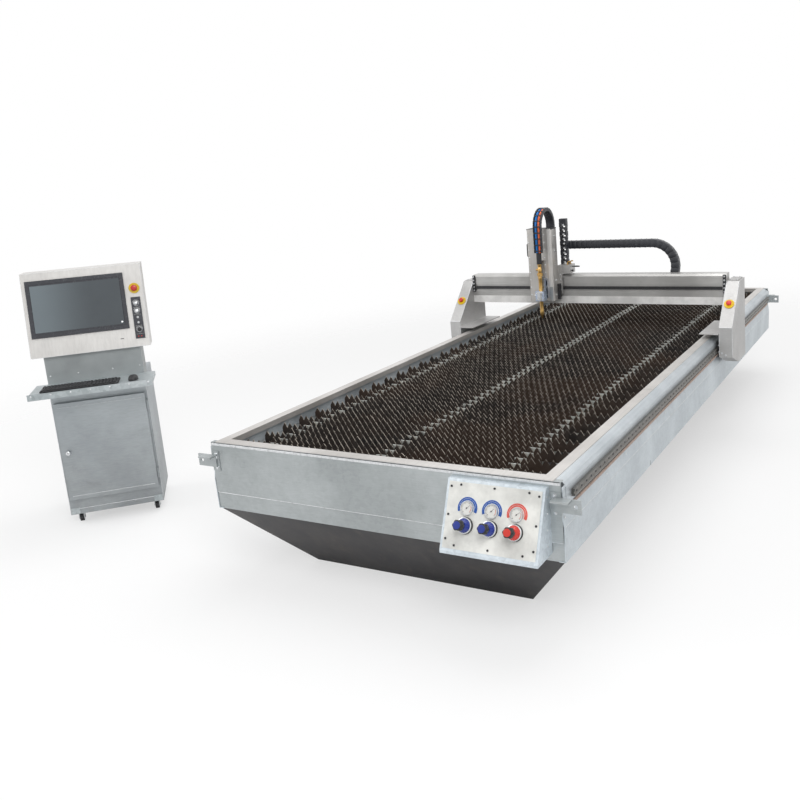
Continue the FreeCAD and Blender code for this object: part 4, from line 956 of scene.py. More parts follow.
def gantry_fastenings():
    """Screws in the guide rail, beam end brackets with their bolts, bolts of the bearing blocks, the leg
    caps and the legs' feet."""
    guide_low, guide_high = span("beam_guide")
    x = row_of(guide_low[0] + 0.03, guide_high[0] - 0.03, 32)
    middle = (guide_low[2] + guide_high[2]) / 2
    spots = np.column_stack([x, np.full(32, guide_low[1]), np.full(32, middle)])
    ring = turned([(0.0052, 0), (0.0052, 0.0001), (0.0036, 0.0002), (0.003, 0.00012), (0, 0.0001)], 12)
    ring.repeat(spots, -ALONG).make("guide_screws", "gantry", MATT_BLACK, "block_black")
    brackets, bolts = Surface(), Surface()
    bolt = cap_screw(0.0068, 0.006)
    for side in (-1, 1):
        low = np.array([LEG_IN - 0.023, beam_low[1] - 0.010, beam_low[2] + 0.03])
        high = np.array([LEG_IN - 0.001, beam_low[1] + 0.001, beam_high[2] - 0.004])
        bracket = block_between(low, high, 0.0015)
        brackets.add(bracket if side > 0 else bracket.put([0, 0, 0], -ACROSS, ALONG, UP))
        z = row_of(low[2] + 0.012, high[2] - 0.012, 5)
        spots = np.column_stack([np.full(5, side * (LEG_IN - 0.012)), np.full(5, low[1]), z])
        bolts.add(bolt.repeat(spots, -ALONG))
    block_low, block_high = span("bearing_blocks")
    for y_end, way in ((block_low[1], -ALONG), (block_high[1], ALONG)):
        spots = [[LEG_IN - 0.0105, y_end, z] for z in (block_high[2] - 0.007, block_low[2] + 0.007)]
        right, left = mirrored(spots)
        small = cap_screw(0.0048, 0.0045)
        bolts.add(small.repeat(np.concatenate([right, left]), way))
    cap_z = span("leg_covers")[1][2]
    cap_y = np.array([0.618, 0.735])
    grid_x, grid_y = np.meshgrid([LEG_IN + 0.024, LEG_OUT - 0.024], cap_y)
    spots = np.column_stack([grid_x.ravel(), grid_y.ravel(), np.full(4, cap_z)])
    right, left = mirrored(spots)
    bolts.add(hex_bolt(0.0065, 0.005).repeat(np.concatenate([right, left]), UP))
    foot = np.array([[LEG_IN + 0.02, leg_low[1], 0.665], [LEG_IN + 0.045, leg_low[1], 0.652]])
    right, left = mirrored(foot)
    bolts.add(hex_bolt(0.0055, 0.0045).repeat(np.concatenate([right, left]), -ALONG))
    brackets.make("beam_end_brackets", "gantry", MATT_BLACK, "block_black")
    bolts.make("gantry_bolts", "gantry", BRIGHT_STEEL, "leg_sheet")


def leg_fold_highlights():
    """Painted highlights on the folds of the legs' sheet: thin beads of brighter steel along the front
    edges and the knee.
    """
    highlight_beads = Surface()
    front = leg_low[1] + 0.0014
    for side in (-1, 1):
        for x in (LEG_IN + 0.0016, LEG_OUT - 0.0016):
            line = np.array([[x, front, leg_low[2] + 0.09], [x, front, KNEE_Z - 0.001],
                             [x, leg_low[1] + SLOPE_RUN + 0.0008, leg_high[2] - 0.0012]])
            line[:, 0] *= side
            highlight_beads.add(tube(line, 0.0020, ACROSS, 8))
        knee = np.array([[x, front, KNEE_Z] for x in (LEG_IN + 0.002, LEG_OUT - 0.002)])
        knee[:, 0] *= side
        highlight_beads.add(tube(knee, 0.0019, ALONG, 8))
    # painted highlight: beads of brighter steel than the leg sheet
    highlight_beads.make("leg_fold_highlights", "gantry", BRIGHT_STEEL, "leg_sheet")


def chain_line(points_per_link):
    """Middle line of the cable chain behind the beam: upper run, half circle, lower run, sampled at equal
    steps along its length, with the place inside each link from 0 to 1."""
    low, high = span("beam_cable_chain")
    thick, outer = 0.060, 0.200
    radius = outer - thick / 2
    centre_x, centre_z = high[0] - outer, (low[2] + high[2]) / 2
    middle_y = (low[1] + high[1]) / 2
    upper, bend = centre_x - low[0], math.pi * radius
    lower = centre_x + 0.100
    total = upper + bend + lower
    links = round(total / 0.040)
    s = np.linspace(0, total, links * points_per_link + 1)
    angle = np.clip((s - upper) / radius, 0, math.pi)
    x = centre_x - np.maximum(upper - s, 0) + radius * np.sin(angle) - np.maximum(s - upper - bend, 0)
    z = centre_z + radius * np.cos(angle)
    phase = (np.arange(len(s)) % points_per_link) / points_per_link
    return np.column_stack([x, np.full(len(s), middle_y), z]), phase


def beam_chain():
    """Cable chain of overlapping links. A rounded section is carried along the middle line; in each link
    it starts drawn in under the link before, steps out to full size and eases in again."""
    path, phase = chain_line(8)
    grow = np.where(phase < 0.11, 0.90, np.where(phase < 0.3, 0.97, np.where(phase < 0.85, 1.0, 0.975)))
    low, high = span("beam_cable_chain")
    wide = high[1] - low[1]
    section = round_rectangle(wide - 0.001, 0.0595, 0.007)
    shell = carried(section, path, ALONG, np.column_stack([grow, 0.86 + grow * 0.14]))
    shell.make("beam_chain_links", "gantry", CHAIN_BLACK, "chain_black", ["beam_cable_chain"], smooth=25)
    way = unit(np.gradient(path, axis=0))
    out = unit(np.cross(way, ALONG))
    pick = np.where(np.isclose(phase, 0.5))[0]
    pins = turned([(0.006, 0), (0.0062, 0.0009), (0.004, 0.0012), (0.0035, 0.0002), (0, 0.0002)], 12)
    spots = path[pick] + ALONG * (wide / 2 - 0.0011)
    studs = pins.repeat(spots, ALONG).add(pins.repeat(spots - ALONG * (wide - 0.0022), -ALONG))
    slot_pick = np.where(np.isclose(phase, 0.625))[0]
    bar = cushioned(0.006, wide * 0.8, 0.0026, 0.001)
    for index in slot_pick:
        studs.add(bar.put(path[index] - out[index] * 0.0289, way[index], ALONG, -out[index]))
        studs.add(bar.put(path[index] + out[index] * 0.0289, way[index], ALONG, out[index]))
    studs.make("beam_chain_bars", "gantry", GLOSS_BLACK, "chain_black", smooth=25)


leg_stops()
gantry_fastenings()
leg_fold_highlights()
beam_chain()


# carriage and torch lift

house_low, house_high = span("lift_housing")
torch_low, torch_high = span("torch_body")
TORCH = np.array([(torch_low[0] + torch_high[0]) / 2, (torch_low[1] + torch_high[1]) / 2])


def at_torch(shape, z=0.0):
    """A surface set upright on the torch's axis."""
    return shape.put([TORCH[0], TORCH[1], z], ACROSS, ALONG, UP)


def housing_trim():
    """Bolts in two columns on the housing's front, a dark cap plate on top and a bright cover strip down
    its right edge."""
    z = row_of(house_low[2] + 0.05, house_high[2] - 0.045, 9)
    bolts = Surface()
    head = dome_screw(0.0052, 0.0028)
    for x in (house_low[0] + 0.0145, house_high[0] - 0.058):
        spots = np.column_stack([np.full(9, x), np.full(9, house_low[1]), z])
        bolts.add(head.repeat(spots, -ALONG))
    z = row_of(house_low[2] + 0.04, house_high[2] - 0.06, 5)
    spots = np.column_stack([np.full(5, house_high[0]), np.full(5, house_high[1] - 0.045), z])
    bolts.add(hex_bolt(0.0055, 0.0045).repeat(spots, ACROSS))
    bolts.make("housing_bolts", "carriage", BRIGHT_STEEL, "housing_stainless")
    strip = block_between([house_high[0] - 0.030, house_low[1] - 0.0035, house_low[2] + 0.004],
                          [house_high[0] - 0.004, house_low[1] + 0.001, house_high[2] - 0.004], 0.0008)
    strip.make("housing_strip", "carriage", HEAD_SHEET, "housing_stainless")
    cap = block_between([house_low[0] - 0.002, house_low[1] + 0.004, house_high[2] - 0.006],
                        [house_high[0] + 0.002, house_high[1] + 0.002, house_high[2] + 0.0015], 0.001)
    cap.make("housing_cap", "carriage", DARK_STEEL, "housing_stainless")
    block = block_between([house_high[0] - 0.006, house_high[1] - 0.03, house_low[2] + 0.002],
                          [house_high[0] + 0.022, house_high[1] - 0.002, house_low[2] + 0.12], 0.002)
    block.make("lower_stop_block", "carriage", MATT_BLACK, "block_black")


def lift_chain():
    """Short open chain beside the housing: for each link two side plates that overlap the next link's
    and two cross bars, with daylight between the bars, and a clip on top."""
    low, high = span("lift_cable_chain")
    middle = (low + high) / 2
    size = high - low
    count = 9
    pitch = (size[2] - 0.03) / count
    plate = cushioned(0.0065, size[1] - 0.004, pitch * 1.06, 0.002, 0.0028)
    bar = cushioned(size[0] - 0.006, 0.010, 0.022, 0.0015)
    link = Surface()
    z = low[2] + np.arange(count) * pitch
    sides = Surface()
    for index in range(count):
        inset = 0.0035 if index % 2 else 0.0
        for side in (-1, 1):
            spot = [middle[0] + side * (size[0] / 2 - 0.0035 - inset), middle[1], z[index]]
            sides.add(plate.put(spot, ACROSS, ALONG, UP))
        for y in (low[1] + 0.006, high[1] - 0.006):
            link.add(bar.put([middle[0], y, z[index] + pitch * 0.32], ACROSS, ALONG, UP))
    pins = turned([(0.007, 0), (0.0072, 0.001), (0.005, 0.0016), (0, 0.0016)], 14)
    x = np.full(count, high[0] - 0.0006)
    spots = np.column_stack([x, np.full(count, middle[1]), z + pitch * 0.52])
    sides.add(pins.repeat(spots, ACROSS))
    sides.add(link)
    clip = cushioned(size[0] - 0.002, size[1] - 0.004, 0.042, 0.003)
    sides.add(clip.put([middle[0], middle[1], high[2] - 0.0424], ACROSS, ALONG, UP))
    sides.make("lift_chain_links", "carriage", CHAIN_BLACK, "chain_black", ["lift_cable_chain"],
               smooth=30)
    tabs = Surface()
    tab = cushioned(0.016, 0.0016, 0.012, 0.0006)
    for index in range(count):
        spot = [middle[0] + 0.006, low[1] + 0.0015, z[index] + pitch * 0.34]
        tabs.add(tab.put(spot, ACROSS, ALONG, UP))
    tabs.make("lift_chain_tabs", "carriage", BRIGHT_STEEL, "housing_stainless")
    cable_path = np.column_stack([np.full(12, middle[0] - 0.008), np.full(12, middle[1]),
                                  row_of(low[2] + 0.004, high[2] - 0.02, 12)])
    tube(cable_path, 0.006, ACROSS, 10).make("lift_cable", "carriage", RUBBER, "chain_black")


def carriage_handles():
    """Bent wire handle on the left: its line runs out, turns two quarter circles and comes back; a clamp
    lever with a swelling grip and a small round knob on the right."""
    low, high = span("carriage_handles")
    z_low, z_high = 1.327, 1.425
    reach_x = low[0] + 0.005
    wall_x = house_low[0] + 0.002
    y = house_low[1] + 0.040
    t = np.linspace(0, math.pi / 2, 6)
    bend = 0.010
    lower_corner = np.column_stack([reach_x + bend - bend * np.sin(t), z_low + bend - bend * np.cos(t)])
    upper_corner = np.column_stack([reach_x + bend - bend * np.cos(t), z_high - bend + bend * np.sin(t)])
    line = np.concatenate([[[wall_x, z_low]], lower_corner, upper_corner, [[wall_x, z_high]]])
    path = np.column_stack([line[:, 0], np.full(len(line), y), line[:, 1]])
    handle = tube(path, 0.0047, ALONG, 12)
    bracket_x = high[0] - 0.066
    lever_y, lever_z = 0.6167, 1.234
    s = np.linspace(0, 0.064, 10)
    radius = 0.0036 + 0.0022 * np.sin(np.clip((s - 0.012) / 0.052, 0, 1) * math.pi) ** 0.7
    path = np.column_stack([bracket_x - 0.002 + s, np.full(10, lever_y), np.full(10, lever_z)])
    grip = carried(circle(1.0, 12), path, ALONG, np.column_stack([radius, radius]))
    knob = turned([(0.004, 0), (0.004, 0.006), (0.0085, 0.008), (0.009, 0.013), (0.007, 0.0155),
                   (0, 0.016)], 16)
    handle.add(grip).add(knob.put([bracket_x, 0.60, 1.204], ALONG, UP, ACROSS))
    handle.make("handle_and_lever", "carriage", MATT_BLACK, "handle_black", ["carriage_handles"])


def gas_fittings():
    """Brass elbows and hose tails on the bracket beside the lift chain."""
    elbow_line = np.array([[0, 0, 0], [0, 0, 0.012], [0.003, 0, 0.019], [0.010, 0, 0.022],
                           [0.022, 0, 0.022]])
    elbow = tube(elbow_line, 0.0048, ALONG, 12)
    nut = turned([(0.0078, 0), (0.0078, 0.007), (0.006, 0.008), (0, 0.008)], 6)
    bracket_end = span("carriage_plate")[1][0]
    fittings = Surface()
    for x, y in ((bracket_end - 0.030, 0.600), (bracket_end - 0.024, 0.645)):
        fittings.add(elbow.put([x, y, 1.25], ACROSS, ALONG, UP))
        fittings.add(nut.put([x, y, 1.249], ACROSS, ALONG, UP))
    fittings.make("brass_fittings", "carriage", BRASS, "torch_brass")
    bolts = cap_screw(0.0055, 0.005)
    spots = [[house_high[0] + 0.018, 0.5647, z] for z in (1.06, 1.10, 1.14, 1.18)]
    bolts.repeat(spots, -ALONG).make("carriage_screws", "carriage", BRIGHT_STEEL, "carriage_steel")


def torch():
    """The torch is one turned profile: pointed tip, shield, straight barrel and stepped top, with a
    knurled collar. The sleeve above it is turned too, with shallow grip rings."""
    z = torch_low[2]
    profile = [(0, z), (0.0016, z), (0.0022, z + 0.004), (0.0065, z + 0.010), (0.0085, z + 0.020),
               (0.0120, z + 0.027),
               (0.0146, z + 0.040), (0.0148, z + 0.060), (0.0145, z + 0.064), (0.0138, z + 0.068),
               (0.0138, z + 0.140), (0.0144, z + 0.142), (0.0144, z + 0.220), (0.0139, z + 0.222),
               (0.0139, z + 0.300), (0.0150, z + 0.304), (0.0150, z + 0.322), (0.0142, z + 0.325)]
    top = torch_high[2]
    profile += [(0.0142, top - 0.062), (0.0158, top - 0.058), (0.0158, top - 0.030),
                (0.0138, top - 0.026), (0.0138, top - 0.014), (0.0155, top - 0.011),
                (0.0155, top - 0.001), (0, top)]
    barrel = at_torch(turned(profile, 32))
    collar_z = 1.192
    collar = turned([(0.0150, 0), (0.0205, 0.002), (0.0208, 0.024), (0.0150, 0.026)], 48, 24, 0.02)
    barrel.add(at_torch(collar, collar_z))
    port = turned([(0.0065, 0), (0.0065, 0.010), (0.0085, 0.011), (0.0085, 0.015), (0.004, 0.0155),
                   (0, 0.0155)], 14)
    barrel.add(port.put([TORCH[0] - 0.012, TORCH[1], collar_z + 0.050], ALONG, UP, -ACROSS))
    barrel.make("torch_barrel", "torch_lift", BRASS, "torch_brass", ["torch_body"])
    low, high = span("torch_sleeve")
    z = np.linspace(low[2] + 0.0005, high[2] - 0.0005, 18)
    radius = 0.0185 + 0.0012 * (np.arange(18) % 2)
    rings = np.column_stack([radius, z])
    rings = np.concatenate([[[0.014, z[0]]], rings, [[0, z[-1]]]])
    sleeve = at_torch(turned(rings, 28))
    sleeve.make("torch_grip_sleeve", "torch_lift", MATT_BLACK, "sleeve_black", ["torch_sleeve"])


def clamp_fittings():
    """Four screws, a front rib and a lobed locking screw on the torch clamp."""
    low, high = span("torch_clamp")
    y = low[1]
    bolts = cap_screw(0.0052, 0.005)
    spots = [[low[0] + 0.012, y, low[2] + 0.014], [low[0] + 0.012, y, low[2] + 0.060],
             [high[0] - 0.012, y, low[2] + 0.014], [high[0] - 0.012, y, low[2] + 0.060]]
    shape = bolts.repeat(spots, -ALONG)
    rib = cushioned(0.036, 0.004, 0.064, 0.0012)
    shape.add(rib.put([TORCH[0], y - 0.001, low[2] + 0.005], ACROSS, ALONG, UP))
    knob = turned([(0.004, 0), (0.004, 0.006), (0.0095, 0.008), (0.0098, 0.015), (0.008, 0.0165),
                   (0, 0.0165)], 24, 12, 0.04)
    shape.add(knob.put([low[0], TORCH[1], low[2] + 0.037], ALONG, UP, -ACROSS))
    shape.make("clamp_fittings", "torch_lift", BRIGHT_STEEL, "clamp_silver")


def arch_line(radius, steps, front_foot, rear_foot):
    """Line of the hose loop in the YZ plane: up from the torch, over a half circle of a radius about the
    loop's hub and down behind the housing."""
    t = np.linspace(0, math.pi, steps)
    hub_y, hub_z = HUB
    over = np.column_stack([hub_y - radius * np.cos(t), hub_z + radius * np.sin(t)])
    up_z = np.linspace(front_foot, hub_z, 12)[:-1]
    down_z = np.linspace(hub_z, rear_foot, 8)[1:]
    up = np.column_stack([np.full(len(up_z), hub_y - radius), up_z])
    down = np.column_stack([np.full(len(down_z), hub_y + radius), down_z])
    return np.concatenate([up, over, down])


carrier_low, carrier_high = span("hose_carrier")
LOOP_OUT = (carrier_high[1] - carrier_low[1]) / 2
HUB = ((carrier_low[1] + carrier_high[1]) / 2, carrier_high[2] - LOOP_OUT)
LOOP_IN = LOOP_OUT - 0.030
LOOP_FEET = (span("torch_sleeve")[1][2] + 0.001, 1.480)


def even_steps(line, step):
    """The same line with points at nearly equal steps, from the running sum of its lengths."""
    run = np.concatenate([[0], np.cumsum(np.linalg.norm(np.diff(line, axis=0), axis=1))])
    count = max(2, round(run[-1] / step))
    s = np.linspace(0, run[-1], count + 1)
    return np.column_stack([np.interp(s, run, line[:, k]) for k in range(line.shape[1])])


def hose_loop():
    """The hoses' open carrier: side walls and a floor carried along the loop, drawn in at every joint
    between links, cross bars over the hoses, and the two round hoses inside."""
    middle = arch_line((LOOP_OUT + LOOP_IN) / 2, 40, *LOOP_FEET)
    path = even_steps(middle, 0.0075)
    place = np.arange(len(path)) % 4
    grow = np.where(place == 0, 0.80, 1.0)
    left, right = carrier_low[0], carrier_high[0]
    walls = Surface()
    for x in (left + 0.004, right - 0.004):
        line = np.column_stack([np.full(len(path), x), path])
        wall = round_rectangle(0.0075, 0.0292, 0.002)
        walls.add(carried(wall, line, ACROSS, np.column_stack([np.ones(len(path)), grow])))
    floor_line = even_steps(arch_line(LOOP_IN + 0.003, 40, *LOOP_FEET), 0.010)
    line = np.column_stack([np.full(len(floor_line), (left + right) / 2), floor_line])
    walls.add(carried(round_rectangle(right - left - 0.008, 0.0048, 0.001), line, ACROSS))
    outer = even_steps(arch_line(LOOP_OUT - 0.002, 40, *LOOP_FEET), 0.0075)
    way = np.gradient(outer, axis=0)
    way = np.column_stack([np.zeros(len(way)), unit(way)])
    out = np.cross(way, ACROSS)
    bar = cushioned(right - left - 0.006, 0.0085, 0.003, 0.001)
    for index in range(2, len(outer) - 1, 6):
        spot = np.array([(left + right) / 2, outer[index, 0], outer[index, 1]])
        lift = out[index] if out[index] @ (spot - [spot[0], HUB[0], HUB[1]]) > 0 else -out[index]
        walls.add(bar.put(spot - lift * 0.0015, ACROSS, np.cross(lift, ACROSS), lift))
    walls.make("hose_carrier_links", "torch_lift", CHAIN_BLACK, "chain_black", ["hose_carrier"],
               smooth=25)
    for name, node, colour, slot in (("round_blue_hose", "blue_hose", HOSE_BLUE, "hose_blue"),
                                     ("round_orange_hose", "orange_hose", HOSE_ORANGE, "hose_orange")):
        low, high = span(node)
        x = (low[0] + high[0]) / 2
        hose_path = even_steps(arch_line(LOOP_IN + 0.0165, 48, *LOOP_FEET), 0.008)
        line = np.column_stack([np.full(len(hose_path), x), hose_path])
        tube(line, 0.0092, ACROSS, 14).make(name, "torch_lift", colour, slot, [node])


housing_trim()
lift_chain()
carriage_handles()
gas_fittings()
torch()
clamp_fittings()
hose_loop()


# console

LEAN = math.radians(10)
STRIP_X, KNOB_RISES = 0.294, (0.270, 0.222)
PANEL_STOP_RISE = 0.366
CASTER_ASIDE, CASTER_BEHIND, WHEEL_RADIUS, TRAIL = 0.230, 0.190, 0.025, 0.018
DESK_TOP = 0.926
HEAD_UP = BEHIND * math.sin(LEAN) + UP * math.cos(LEAN)
HEAD_OUT = -BEHIND * math.cos(LEAN) + UP * math.sin(LEAN)


def at_console(aside, behind, high):
    """Console coordinates as a point of the whole machine."""
    return CONSOLE + ASIDE * aside + BEHIND * behind + UP * high


def in_console(shape, aside, behind, high):
    """A surface set upright at a place of the console, turned with it."""
    return shape.put(at_console(aside, behind, high), ASIDE, BEHIND, UP)


def on_head(aside, rise, out=0.0):
    """A point of the leaning front: sideways from its middle, up from its lower edge, out of it."""
    return at_console(aside, -0.250, 1.100) + HEAD_UP * rise + HEAD_OUT * out


def stand_on_head(shape, aside, rise, out=0.0):
    """A surface set square on the leaning front."""
    return shape.put(on_head(aside, rise, out), ASIDE, HEAD_UP, HEAD_OUT)


def framed(wide, tall, border, thick, edge=0.0015):
    """A picture frame: one ring of points per edge of its section, from outer to inner outline."""
    rings = []
    for inset, height in ((0, 0), (0, thick - edge), (edge, thick), (border - edge, thick),
                          (border, thick - edge), (border, 0)):
        outline = round_rectangle(wide - 2 * inset, tall - 2 * inset, max(0.006 - inset, 0.001))
        rings.append(np.column_stack([outline, np.full(len(outline), height)]))
    return Surface().grid(np.array(rings), ring=True, loop=True)


def head_front():
    """Screen frame with its small lamp button, the dark strip of switches with its printed arches and
    knobs, the emergency stop and a small slot."""
    bezel = stand_on_head(framed(0.560, 0.350, 0.024, 0.0095), -0.042, 0.2949)
    bezel.make("screen_frame", TABLE, GLOSS_BLACK, "fascia_black", smooth=30)
    button = turned([(0.006, 0), (0.006, 0.0012), (0.0045, 0.002), (0, 0.002)], 20)
    lamp_x, lamp_rise = 0.238 - 0.038, 0.1199 + 0.045
    silver = stand_on_head(button, lamp_x, lamp_rise, 0.0100)
    ring = turned([(0.0165, 0), (0.0165, 0.002), (0.0145, 0.003)], 32)
    knob = turned([(0.0125, 0), (0.0125, 0.004), (0.0108, 0.006), (0.0104, 0.016), (0.0085, 0.0172),
                   (0, 0.0172)], 40, 20, 0.03)
    toggle_base = turned([(0.0072, 0), (0.0072, 0.0022), (0.0055, 0.003), (0.0042, 0.0045),
                          (0.0042, 0.006), (0, 0.006)], 6)
    bat = turned([(0.0017, 0), (0.0024, 0.013), (0.0026, 0.0155), (0.0018, 0.0168), (0, 0.0172)], 14)
    out = 0.006
    dark = Surface()
    for rise in KNOB_RISES:
        silver.add(stand_on_head(ring, STRIP_X, rise, out))
        silver.add(stand_on_head(knob, STRIP_X, rise, out + 0.002))
    mark = block_between([-0.0008, 0.003, 0], [0.0008, 0.0098, 0.0006], 0.0002)
    for rise in KNOB_RISES:
        dark.add(stand_on_head(mark, STRIP_X, rise, out + 0.0192))
    for rise in (0.182, 0.150):
        silver.add(stand_on_head(toggle_base, STRIP_X, rise, out))
        tip = unit(HEAD_OUT + HEAD_UP * 0.35)
        silver.add(bat.put(on_head(STRIP_X, rise, out + 0.005), ASIDE, np.cross(tip, ASIDE), tip))
    silver.add(stand_on_head(ring, STRIP_X, 0.106, out))
    dark.add(stand_on_head(knob, STRIP_X, 0.106, out + 0.001))
    arch = sector(0.0205, 0.0217, 20, 160, 0.0004, 24)
    prints = Surface()
    for rise in (*KNOB_RISES, 0.106):
        prints.add(stand_on_head(arch, STRIP_X, rise, out))
    rule = block_between([-0.020, -0.0004, 0], [0.020, 0.0004, 0.0003], 0.0001)
    for rise in (0.246, 0.200, 0.130, 0.078):
        prints.add(stand_on_head(rule, STRIP_X, rise, out))
    prints.make("strip_prints", TABLE, DIAL, "gauge_plate_white", smooth=30)
    lamp_red = turned([(0.004, 0), (0.004, 0.0012), (0.003, 0.0024), (0, 0.0026)], 14)
    lamps = stand_on_head(lamp_red, STRIP_X - 0.010, 0.064, out)
    lamps.add(stand_on_head(lamp_red, STRIP_X + 0.008, 0.064, out))
    lamps.make("strip_lamps", TABLE, STOP_RED, "stop_red")
    slot = cushioned(0.020, 0.0042, 0.0016, 0.0005, 0.002)
    dark.add(stand_on_head(slot, 0.186, 0.060, 0.0))
    silver.make("strip_switches", TABLE, BRIGHT_STEEL, "gauge_steel")
    dark.make("strip_knobs", TABLE, MATT_BLACK, "fascia_black")
    base = stand_on_head(stop_base(0.032), STRIP_X, PANEL_STOP_RISE)
    base.make("panel_stop_base", TABLE, STOP_YELLOW, "stop_yellow", ["panel_stop_disc"])
    head = stand_on_head(mushroom(), STRIP_X, PANEL_STOP_RISE, 0.006)
    head.make("panel_stop_head", TABLE, STOP_RED, "stop_red", ["panel_stop_button"])


def head_edges():
    """Bright folded edges round the head's front: a thin bead carried round the outline."""
    outline = round_rectangle(0.6865, 0.5144, 0.006, 4)
    path = np.array([on_head(x, 0.5179 / 2 + y, -0.0016) for x, y in outline])
    bead = tube(path, 0.0019, HEAD_OUT, 8, closed=True)
    bead.make("head_fold", TABLE, BRIGHT_STEEL, "cabinet_grey")


def keyboard():
    """Keyboard: a wedge base with eased edges and six rows of caps with drawn-in tops; wide keys and a
    gap before the number pad. The mouse is a swelling shell: its height falls off as an ellipse."""
    wide, deep = 0.440, 0.140
    middle, front = -0.070, -0.460
    base = cushioned(wide, deep, 0.0095, 0.003, 0.008)
    board = in_console(base, middle, front + deep / 2, DESK_TOP + 0.0005)
    cap = cushioned(0.0150, 0.0155, 0.0062, 0.0018, 0.0024)
    rows = 6
    for row in range(rows):
        y = front + 0.014 + row * 0.0205 + (0.005 if row == 5 else 0)
        shift = (0.0, 0.004, 0.007, 0.009, 0.0, 0.0)[row]
        for column in range(22):
            x = middle - wide / 2 + 0.0135 + column * 0.0188
            x += shift if column < 14 else 0.0
            x += 0.006 if column > 14 else 0.0
            if row == 0 and 3 < column < 9:
                continue
            if x > middle + wide / 2 - 0.008:
                continue
            board.add(in_console(cap, x, y, 0.9355))
    space = cushioned(0.096, 0.0155, 0.0062, 0.0018, 0.0024)
    board.add(in_console(space, middle - wide / 2 + 0.0135 + 6 * 0.0188, front + 0.014, 0.9355))
    u = np.linspace(0, math.tau, 33)[:-1]
    v = np.linspace(0, math.pi / 2, 9)
    a, b, c = 0.0295, 0.050, 0.0295
    aside = np.sign(np.cos(u)) * np.abs(np.cos(u)) ** 0.8
    rings = []
    for t in v:
        shrink = math.cos(t) ** 0.6
        high = c * math.sin(t) * (1 - 0.18 * np.sin(u) * math.cos(t))
        rings.append(np.stack([a * aside * shrink, b * np.sin(u) * shrink, high], -1))
    grid = np.stack(rings)
    shell = Surface().grid(grid, ring=True).lid(grid[0])
    board.add(in_console(shell, 0.231, -0.398, 0.9267))
    board.make("keys_and_mouse", TABLE, MATT_BLACK, "input_black", ["keyboard_and_mouse"], smooth=35)
    wheel = turned([(0.0052, -0.003), (0.006, 0), (0.0052, 0.003), (0.002, 0.0032)], 16)
    in_console(wheel.put([0, 0, 0], ALONG, UP, ACROSS), 0.231, -0.424, 0.9470) \
        .make("mouse_wheel", TABLE, CHAIN_BLACK, "input_black")


def desk_screws():
    """Bright screws: seven along the desk's front lip, three at each end and four on the neck."""
    head = dome_screw(0.0052, 0.0026)
    screws = Surface()
    for x in row_of(-0.325, 0.325, 7):
        screws.add(head.put(at_console(x, -0.520, 0.9255), ASIDE, UP, -BEHIND))
    for side in (-1, 1):
        for y in (-0.49, -0.38, -0.27):
            screws.add(head.put(at_console(side * 0.345, y, 0.9130), BEHIND, UP, ASIDE * side))
    for x in (-0.26, -0.10, 0.10, 0.26):
        screws.add(head.put(at_console(x, -0.220, 0.975), ASIDE, UP, -BEHIND))
    screws.make("desk_screws", TABLE, BRIGHT_STEEL, "cabinet_grey")


def cabinet_trim():
    """Crease lines near the cabinet's top, foot and sides, as beads of brighter steel that paint a
    highlight, and gussets over the casters.
    """
    # painted highlight: beads of brighter steel than the cabinet along its creases
    highlight_beads = Surface()
    for high in (0.8865, 0.1055):
        path = np.array([at_console(-0.278, -0.2404, high), at_console(0.278, -0.2404, high)])
        highlight_beads.add(tube(path, 0.0016, UP, 8))
    for side in (-1, 1):
        path = np.array([at_console(side * 0.2788, -0.2388, high) for high in (0.074, 0.897)])
        highlight_beads.add(tube(path, 0.0016, BEHIND, 8))
    highlight_beads.make("cabinet_fold_highlights", TABLE, BRIGHT_STEEL, "cabinet_grey")
    gussets = Surface()
    for side in (-1, 1):
        for end in (-1, 1):
            plate = cushioned(0.052, 0.0025, 0.040, 0.0008)
            gussets.add(in_console(plate, side * 0.250, end * 0.2413, 0.072))
            screw = dome_screw(0.004, 0.002)
            for dx, dz in ((-0.015, 0.012), (0.015, 0.012), (-0.015, 0.030)):
                facing = BEHIND * end
                spot = at_console(side * 0.250 + dx, end * 0.2425, 0.072 + dz)
                gussets.add(screw.put(spot, ASIDE, np.cross(facing, ASIDE), facing))
    gussets.make("cabinet_gussets", TABLE, DESK_ZINC, "cabinet_grey")


def door_trim():
    """Lock face with a key slot and two crease lines of brighter steel that paint a highlight; all turn
    with the door.
    """
    lock = turned([(0.0125, 0), (0.0125, 0.003), (0.0105, 0.004), (0.0100, 0.0035), (0, 0.0035)], 28)
    face = -0.2885
    trim = lock.put(at_console(-0.226, face + 0.0005, 0.489), ASIDE, UP, -BEHIND)
    key = cushioned(0.0022, 0.009, 0.0011, 0.0004)
    slot = key.put(at_console(-0.226, face - 0.0030, 0.489), ASIDE, UP, -BEHIND)
    trim.make("door_lock_face", "door", BRIGHT_STEEL, "cabinet_grey")
    slot.make("door_key_slot", "door", MATT_BLACK, "fascia_black")
    # painted highlight: two beads of brighter steel than the door along its creases
    highlight_beads = Surface()
    for reach, high in ((0.246, 0.200), (-0.246, 0.778)):
        path = np.array([at_console(-reach, -0.2662, high), at_console(reach, -0.2662, high)])
        highlight_beads.add(tube(path, 0.0013, UP, 8))
    highlight_beads.make("door_fold_highlights", "door", BRIGHT_STEEL, "cabinet_grey")


